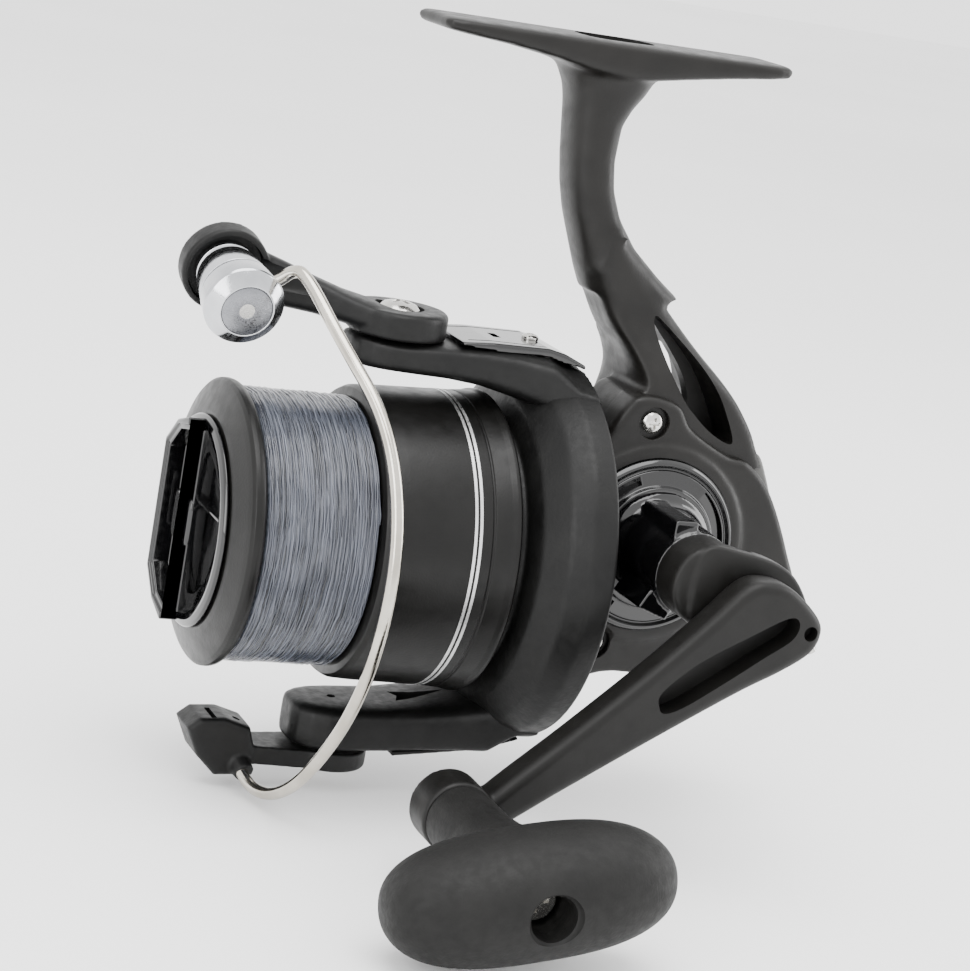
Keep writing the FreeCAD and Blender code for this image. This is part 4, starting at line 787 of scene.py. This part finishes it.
# ---------------------------------------------------------------- spool, line and drag
def skirted_spool():
    """Front flange, arbor and skirt, turned in one piece."""
    profile = [(9.0, 1.6), (9.0, 12.4), (-4.0, 12.4), (-4.3, 17.0), (-4.3, 18.3), (-4.0, 19.3),
               (-3.5, 20.7), (-2.9, 22.4), (-2.5, 23.4), (-2.0, 23.95), (-1.2, 24.0), (-0.5, 23.8),
               (0.0, 23.2), (0.3, 17.0), (19.6, 17.0), (19.7, 23.2), (20.0, 24.3), (20.9, 24.8),
               (24.0, 25.0), (38.2, 25.4), (38.35, 25.2), (38.65, 25.2), (38.8, 25.45), (41.6, 25.7),
               (42.4, 26.0), (43.0, 26.0), (43.4, 25.6), (43.4, 24.7), (38.4, 24.1), (22.6, 23.6),
               (22.2, 15.2), (11.0, 15.2), (11.0, 6.0), (24.0, 6.0), (24.0, 1.6)]
    return piece("skirted_spool", lathe(eased(profile, 0.16, 3), steps=192), "spool_body",
                 "spool_black", "spool", sharp=35.0)


def skirt_bands():
    """Two fine silver rules round the skirt, where a maker would put a name."""
    band = [(35.0, 25.26), (35.0, 25.36), (35.5, 25.37), (35.5, 25.28)]
    bm = bmesh.new()
    for start in (0.0, 0.9):
        ring = lathe([(x + start, r + start * 0.03) for x, r in band], steps=192)
        bm.from_mesh(ring)
    mesh = bpy.data.meshes.new("skirt_bands")
    bm.to_mesh(mesh)
    bm.free()
    return piece("skirt_bands", mesh, "spool_body", "spool_black", finish=BAND_SILVER)


def drag_dial():
    """A round dished dial; its far side stands up as a chamfered wall."""
    front, floor = -8.3, -4.75
    outline = [(-0.6, -17.3), (0.0, -17.3), (5.6, -15.6), (10.8, -11.2), (10.8, 11.2), (5.6, 15.6),
               (0.0, 17.3), (-0.6, 17.3)]
    base = Clay()
    base.face(outline, front, -4.7)
    mesh = base.mesh("drag_dial")
    for shrink, depth in ((0.95, front + 0.5), (0.90, floor)):
        cut = Clay()
        cut.face([(y * shrink if y > 0.0 else -2.0, z * shrink) for y, z in outline], front - 0.5, depth)
        mesh = carved(mesh, cut)
    mesh = applied(mesh, ("BEVEL", {"width": 0.3, "segments": 3, "limit_method": "ANGLE",
                                    "angle_limit": math.radians(24.0)}))
    inner = Clay()
    inner.face([(-1.7, -15.6), (-0.8, -15.6), (-0.8, 15.6), (-1.7, 15.6)], -5.9, -3.0)
    inner.face([(-15.0, 3.2), (-1.0, 3.2), (-1.0, 3.8), (-15.0, 3.8)], -4.9, -3.0)
    ribs = applied(inner.mesh("ribs"), ("BEVEL", {"width": 0.24, "segments": 3}))
    block = Clay()
    block.face(oval_plan(2.6, -0.4, 4.6, 4.4), -6.4, -3.0)
    block = applied(block.mesh("block"), ("BEVEL", {"width": 0.7, "segments": 4, "limit_method": "ANGLE",
                                                    "angle_limit": math.radians(40.0)}))
    dished = [(-2.4, 1.6), (-3.2, 1.6), (-3.2, 10.8), (-3.6, 12.6), (-4.8, 15.0), (-5.5, 15.5),
              (-5.6, 16.6), (-5.3, 17.5), (-4.9, 17.8), (-4.6, 17.7), (-4.5, 16.8), (-4.5, 12.2),
              (-2.4, 11.9)]
    ring = lathe(eased(dished, 0.12, 3), steps=160)
    bm = bmesh.new()
    for part in (mesh, ribs, block, ring):
        bm.from_mesh(part)
    whole = bpy.data.meshes.new("drag_dial")
    bm.to_mesh(whole)
    bm.free()
    return piece("drag_dial", whole, "drag", "gloss_black", "drag_knob", sharp=40.0)


# ---------------------------------------------------------------- what repeats
def tree_with(name, sizes):
    """A geometry tree with a named input for each size; returns it with its ends."""
    tree = bpy.data.node_groups.new(name, "GeometryNodeTree")
    tree.interface.new_socket("Geometry", in_out="INPUT", socket_type="NodeSocketGeometry")
    for label, value in sizes.items():
        kind = "NodeSocketInt" if isinstance(value, int) else "NodeSocketFloat"
        tree.interface.new_socket(label, in_out="INPUT", socket_type=kind)
    tree.interface.new_socket("Geometry", in_out="OUTPUT", socket_type="NodeSocketGeometry")
    return tree, tree.nodes.new("NodeGroupInput"), tree.nodes.new("NodeGroupOutput")


def grown(name, base, tree, sizes):
    """The plain mesh that the tree makes of `base` with these sizes."""
    holder = bpy.data.objects.new(name, base)
    bpy.context.scene.collection.objects.link(holder)
    modifier = holder.modifiers.new(name, "NODES")
    modifier.node_group = tree
    for item in tree.interface.items_tree:
        if item.in_out == "INPUT" and item.name in sizes:
            modifier[item.identifier] = sizes[item.name]
    bpy.context.view_layer.update()
    mesh = bpy.data.meshes.new_from_object(holder.evaluated_get(bpy.context.evaluated_depsgraph_get()))
    holder.modifiers.remove(modifier)
    bpy.data.objects.remove(holder)
    return mesh


# each layer of line: its share of the turns, and how far it lies above the first, mm
LINE_LAYERS = ((1.0, 0.0), (0.45, 0.13), (0.3, 0.2))


def wound_line():
    """The line's turns: a tight helix on the arbor, and a few open turns that cross it."""
    sizes = {"Turns": 66, "Width": 18.7, "Radius": 22.5, "Strand": 0.17, "Slack": 0.16, "Seed": 7}
    tree, given, made = tree_with("line_turns", sizes)

    def node(kind, **settings):
        new = tree.nodes.new(kind)
        for key, value in settings.items():
            setattr(new, key, value)
        return new

    def join(source, target):
        tree.links.new(source, target)

    joined = node("GeometryNodeJoinGeometry")
    strand = node("GeometryNodeCurvePrimitiveCircle")
    strand.inputs["Resolution"].default_value = 6
    join(given.outputs["Strand"], strand.inputs["Radius"])
    for layer, (share, lift) in enumerate(LINE_LAYERS):
        turns = node("ShaderNodeMath", operation="MULTIPLY")
        turns.inputs[1].default_value = share
        join(given.outputs["Turns"], turns.inputs[0])
        radius = node("ShaderNodeMath", operation="ADD")
        radius.inputs[1].default_value = lift
        join(given.outputs["Radius"], radius.inputs[0])
        coil = node("GeometryNodeCurveSpiral")
        coil.inputs["Resolution"].default_value = 90
        coil.inputs["Reverse"].default_value = layer == 1
        join(turns.outputs[0], coil.inputs["Rotations"])
        join(radius.outputs[0], coil.inputs["Start Radius"])
        join(radius.outputs[0], coil.inputs["End Radius"])
        join(given.outputs["Width"], coil.inputs["Height"])
        place = node("GeometryNodeInputPosition")
        wander = node("ShaderNodeTexNoise", noise_dimensions="4D")
        wander.inputs["Scale"].default_value = 0.33
        wander.inputs["Detail"].default_value = 3.0
        join(place.outputs[0], wander.inputs["Vector"])
        seed = node("ShaderNodeMath", operation="ADD")
        seed.inputs[1].default_value = 3.7 * layer
        join(given.outputs["Seed"], seed.inputs[0])
        join(seed.outputs[0], wander.inputs["W"])
        centred = node("ShaderNodeVectorMath", operation="SUBTRACT")
        centred.inputs[1].default_value = (0.5, 0.5, 0.5)
        join(wander.outputs["Color"], centred.inputs[0])
        scaled = node("ShaderNodeVectorMath", operation="SCALE")
        join(centred.outputs[0], scaled.inputs[0])
        slack = node("ShaderNodeMath", operation="MULTIPLY")
        slack.inputs[1].default_value = 2.2 + 2.4 * layer
        join(given.outputs["Slack"], slack.inputs[0])
        join(slack.outputs[0], scaled.inputs["Scale"])
        shifted = node("GeometryNodeSetPosition")
        join(coil.outputs["Curve"], shifted.inputs["Geometry"])
        join(scaled.outputs[0], shifted.inputs["Offset"])
        along = node("GeometryNodeSplineParameter")
        shade = node("ShaderNodeTexNoise", noise_dimensions="1D")
        shade.inputs["Scale"].default_value = 160.0
        shade.inputs["Detail"].default_value = 4.0
        join(along.outputs["Factor"], shade.inputs["W"])
        marked = node("GeometryNodeStoreNamedAttribute", data_type="FLOAT", domain="POINT")
        marked.inputs["Name"].default_value = "shade"
        join(shifted.outputs["Geometry"], marked.inputs["Geometry"])
        join(shade.outputs["Fac"], marked.inputs["Value"])
        tube = node("GeometryNodeCurveToMesh")
        tube.inputs["Fill Caps"].default_value = True
        join(marked.outputs["Geometry"], tube.inputs["Curve"])
        join(strand.outputs["Curve"], tube.inputs["Profile Curve"])
        join(tube.outputs["Mesh"], joined.inputs[0])
    smooth = node("GeometryNodeSetShadeSmooth")
    join(joined.outputs[0], smooth.inputs["Geometry"])
    real = node("GeometryNodeRealizeInstances")
    join(smooth.outputs["Geometry"], real.inputs["Geometry"])
    finish = node("GeometryNodeSetMaterial")
    finish.inputs["Material"].default_value = FINISHES["mono_line"]
    join(real.outputs["Geometry"], finish.inputs["Geometry"])
    join(finish.outputs["Geometry"], made.inputs[0])
    mesh = grown("line_turns", bpy.data.meshes.new("line_turns"), tree, sizes)
    # the helix grows along z; the spool lies along x
    mesh.transform(Matrix.Translation((0.65, 0.0, 0.0)) @ Matrix.Rotation(math.pi / 2, 4, "Y"))
    piece("line_turns", mesh, "spool_body", "mono_line", "line_winding", sharp=180.0)
    core = eased([(0.4, 17.05), (0.4, 22.45), (19.5, 22.45), (19.5, 17.05)], 0.4, 3)
    piece("line_bed", lathe(core, steps=160), "spool_body", "mono_line", finish=LINE_BED)


def pan_head():
    """A cross-recess pan head of unit radius, standing along z from its seat."""
    dome = [(0.0, 0.0), (0.0, 1.0), (0.32, 0.97), (0.52, 0.78), (0.62, 0.5), (0.66, 0.25), (0.67, 0.0)]
    head = lathe(dome, axis=(0, 0, 1), steps=40, closed=False)
    for long, wide in ((0.52, 0.13), (0.13, 0.52)):
        cut = Clay()
        cut.plate([(-long, -wide), (long, -wide), (long, wide), (-long, wide)], 0.34, 1.0)
        head = carved(head, cut)
    return applied(head, ("BEVEL", {"width": 0.03, "segments": 2, "limit_method": "ANGLE",
                                    "angle_limit": math.radians(40.0)}))


def screw_heads(name, body, stands_for, seats):
    """Screw heads on one body: (place, direction out, turn, head radius) each."""
    base = bpy.data.meshes.new(name)
    base.from_pydata([place for place, _, _, _ in seats], [], [])
    base.attributes.new("aim", "FLOAT_VECTOR", "POINT")
    base.attributes.new("wide", "FLOAT", "POINT")
    for k, (_, out, turn, radius) in enumerate(seats):
        spin = Vector(out).to_track_quat("Z", "Y") @ Matrix.Rotation(turn, 3, "Z").to_quaternion()
        base.attributes["aim"].data[k].vector = spin.to_euler()
        base.attributes["wide"].data[k].value = radius
    tree, given, made = tree_with(name, {"Rise": 1.0})
    model = bpy.data.objects.new(name + "_head", pan_head())
    bpy.context.scene.collection.objects.link(model)
    source = tree.nodes.new("GeometryNodeObjectInfo")
    source.inputs["Object"].default_value = model
    spread = tree.nodes.new("GeometryNodeInstanceOnPoints")
    tree.links.new(given.outputs["Geometry"], spread.inputs["Points"])
    tree.links.new(source.outputs["Geometry"], spread.inputs["Instance"])
    turn = tree.nodes.new("GeometryNodeInputNamedAttribute")
    turn.data_type = "FLOAT_VECTOR"
    turn.inputs["Name"].default_value = "aim"
    tree.links.new(turn.outputs["Attribute"], spread.inputs["Rotation"])
    width = tree.nodes.new("GeometryNodeInputNamedAttribute")
    width.data_type = "FLOAT"
    width.inputs["Name"].default_value = "wide"
    rise = tree.nodes.new("ShaderNodeCombineXYZ")
    high = tree.nodes.new("ShaderNodeMath")
    high.operation = "MULTIPLY"
    tree.links.new(width.outputs["Attribute"], high.inputs[0])
    tree.links.new(given.outputs["Rise"], high.inputs[1])
    tree.links.new(width.outputs["Attribute"], rise.inputs["X"])
    tree.links.new(width.outputs["Attribute"], rise.inputs["Y"])
    tree.links.new(high.outputs[0], rise.inputs["Z"])
    tree.links.new(rise.outputs[0], spread.inputs["Scale"])
    real = tree.nodes.new("GeometryNodeRealizeInstances")
    tree.links.new(spread.outputs["Instances"], real.inputs["Geometry"])
    finish = tree.nodes.new("GeometryNodeSetMaterial")
    finish.inputs["Material"].default_value = FINISHES["bright_steel"]
    tree.links.new(real.outputs["Geometry"], finish.inputs["Geometry"])
    tree.links.new(finish.outputs["Geometry"], made.inputs[0])
    mesh = grown(name, base, tree, {"Rise": 1.0})
    bpy.data.objects.remove(model)
    return piece(name, mesh, body, "bright_steel", stands_for, sharp=30.0)


body_shell()
guard_strip()
cover_shell()
hub_dial()
gloss_sleeve()
shank_collar()
crank_arm()
tee_grip()
rotor_cup()
rotor_arms()
arm_lids()
bail_bracket()
roller_and_cap()
bail_hoop()
lever_block()
skirted_spool()
skirt_bands()
drag_dial()
wound_line()
screw_heads("side_screws", "housing", "cover_screws",
            [((x, -12.8, z), TO_NEAR, 0.4 * k, 1.95) for k, (x, z) in enumerate(COVER_SCREWS)])
screw_heads("lid_screws", "rotor_body", "rotor_cover_screws",
            [((49.4, 0.0, 35.9), (0, 0, 1), 0.3, 1.5), ((49.4, 0.0, -35.6), (0, 0, -1), 0.7, 1.5)])
screw_heads("bail_screws", "rotor_body", "pivot_screws",
            [((PIVOT_X, 0.0, 37.9), (0, 0, 1), 0.5, 3.5), ((PIVOT_X, 0.0, -39.8), (0, 0, -1), 0.2, 3.5)])


# ---------------------------------------------------------------- floor, light and camera
floor_z = cad_box[0][2] - 0.0004
floor_finish = Finish("studio_floor", 0.9)
floor_finish.colour(floor_finish.noise(3.0), (0.90, 0.90, 0.90), (0.93, 0.93, 0.93))
bpy.ops.mesh.primitive_plane_add(size=6.0, location=(0.0, 0.0, floor_z))
floor = bpy.context.object
floor.name = "studio_floor"
floor.data.materials.append(floor_finish.material)

world = bpy.data.worlds.new("studio_air")
bpy.context.scene.world = world
world.use_nodes = True
world.node_tree.nodes["Background"].inputs["Color"].default_value = (1.0, 1.0, 1.0, 1.0)
world.node_tree.nodes["Background"].inputs["Strength"].default_value = 2.3


def soft_light(name, place, aim, size, power, height=None):
    light = bpy.data.lights.new(name, "AREA")
    light.energy = power
    light.size = size
    if height:
        light.shape = "RECTANGLE"
        light.size_y = height
    lamp = bpy.data.objects.new(name, light)
    lamp.location = place
    lamp.rotation_euler = (Vector(aim) - Vector(place)).to_track_quat("-Z", "Y").to_euler()
    bpy.context.scene.collection.objects.link(lamp)


soft_light("overhead", (-0.1, -0.2, 0.75), (0.0, 0.0, -0.07), 0.7, 9.0)
soft_light("front_left", (-0.75, -0.55, 0.25), (0.0, 0.0, -0.07), 0.35, 4.5, 0.7)
soft_light("right_rim", (0.7, -0.1, 0.15), (0.0, 0.0, -0.07), 0.25, 3.0, 0.6)

CAMERA_PLACE = Vector((-199.9, -434.6, 27.9)) * MM
CAMERA_AIM = Vector((-8.05, 0.0, -78.26)) * MM
CAMERA_ROLL = math.radians(-10.07)
SENSOR_WIDTH = 36.0
FOCAL_LENGTH = 105.26
back = (CAMERA_PLACE - CAMERA_AIM).normalized()
right = Vector((-back.y, back.x, 0.0)).normalized()
up = back.cross(right)
turned_right = right * math.cos(CAMERA_ROLL) - up * math.sin(CAMERA_ROLL)
turned_up = right * math.sin(CAMERA_ROLL) + up * math.cos(CAMERA_ROLL)
lens = bpy.data.cameras.new("view")
lens.sensor_width = SENSOR_WIDTH
lens.lens = FOCAL_LENGTH
camera = bpy.data.objects.new("view", lens)
turn = Matrix((turned_right, turned_up, back)).transposed()
camera.matrix_world = Matrix.Translation(CAMERA_PLACE) @ turn.to_4x4()
bpy.context.scene.collection.objects.link(camera)
bpy.context.scene.camera = camera
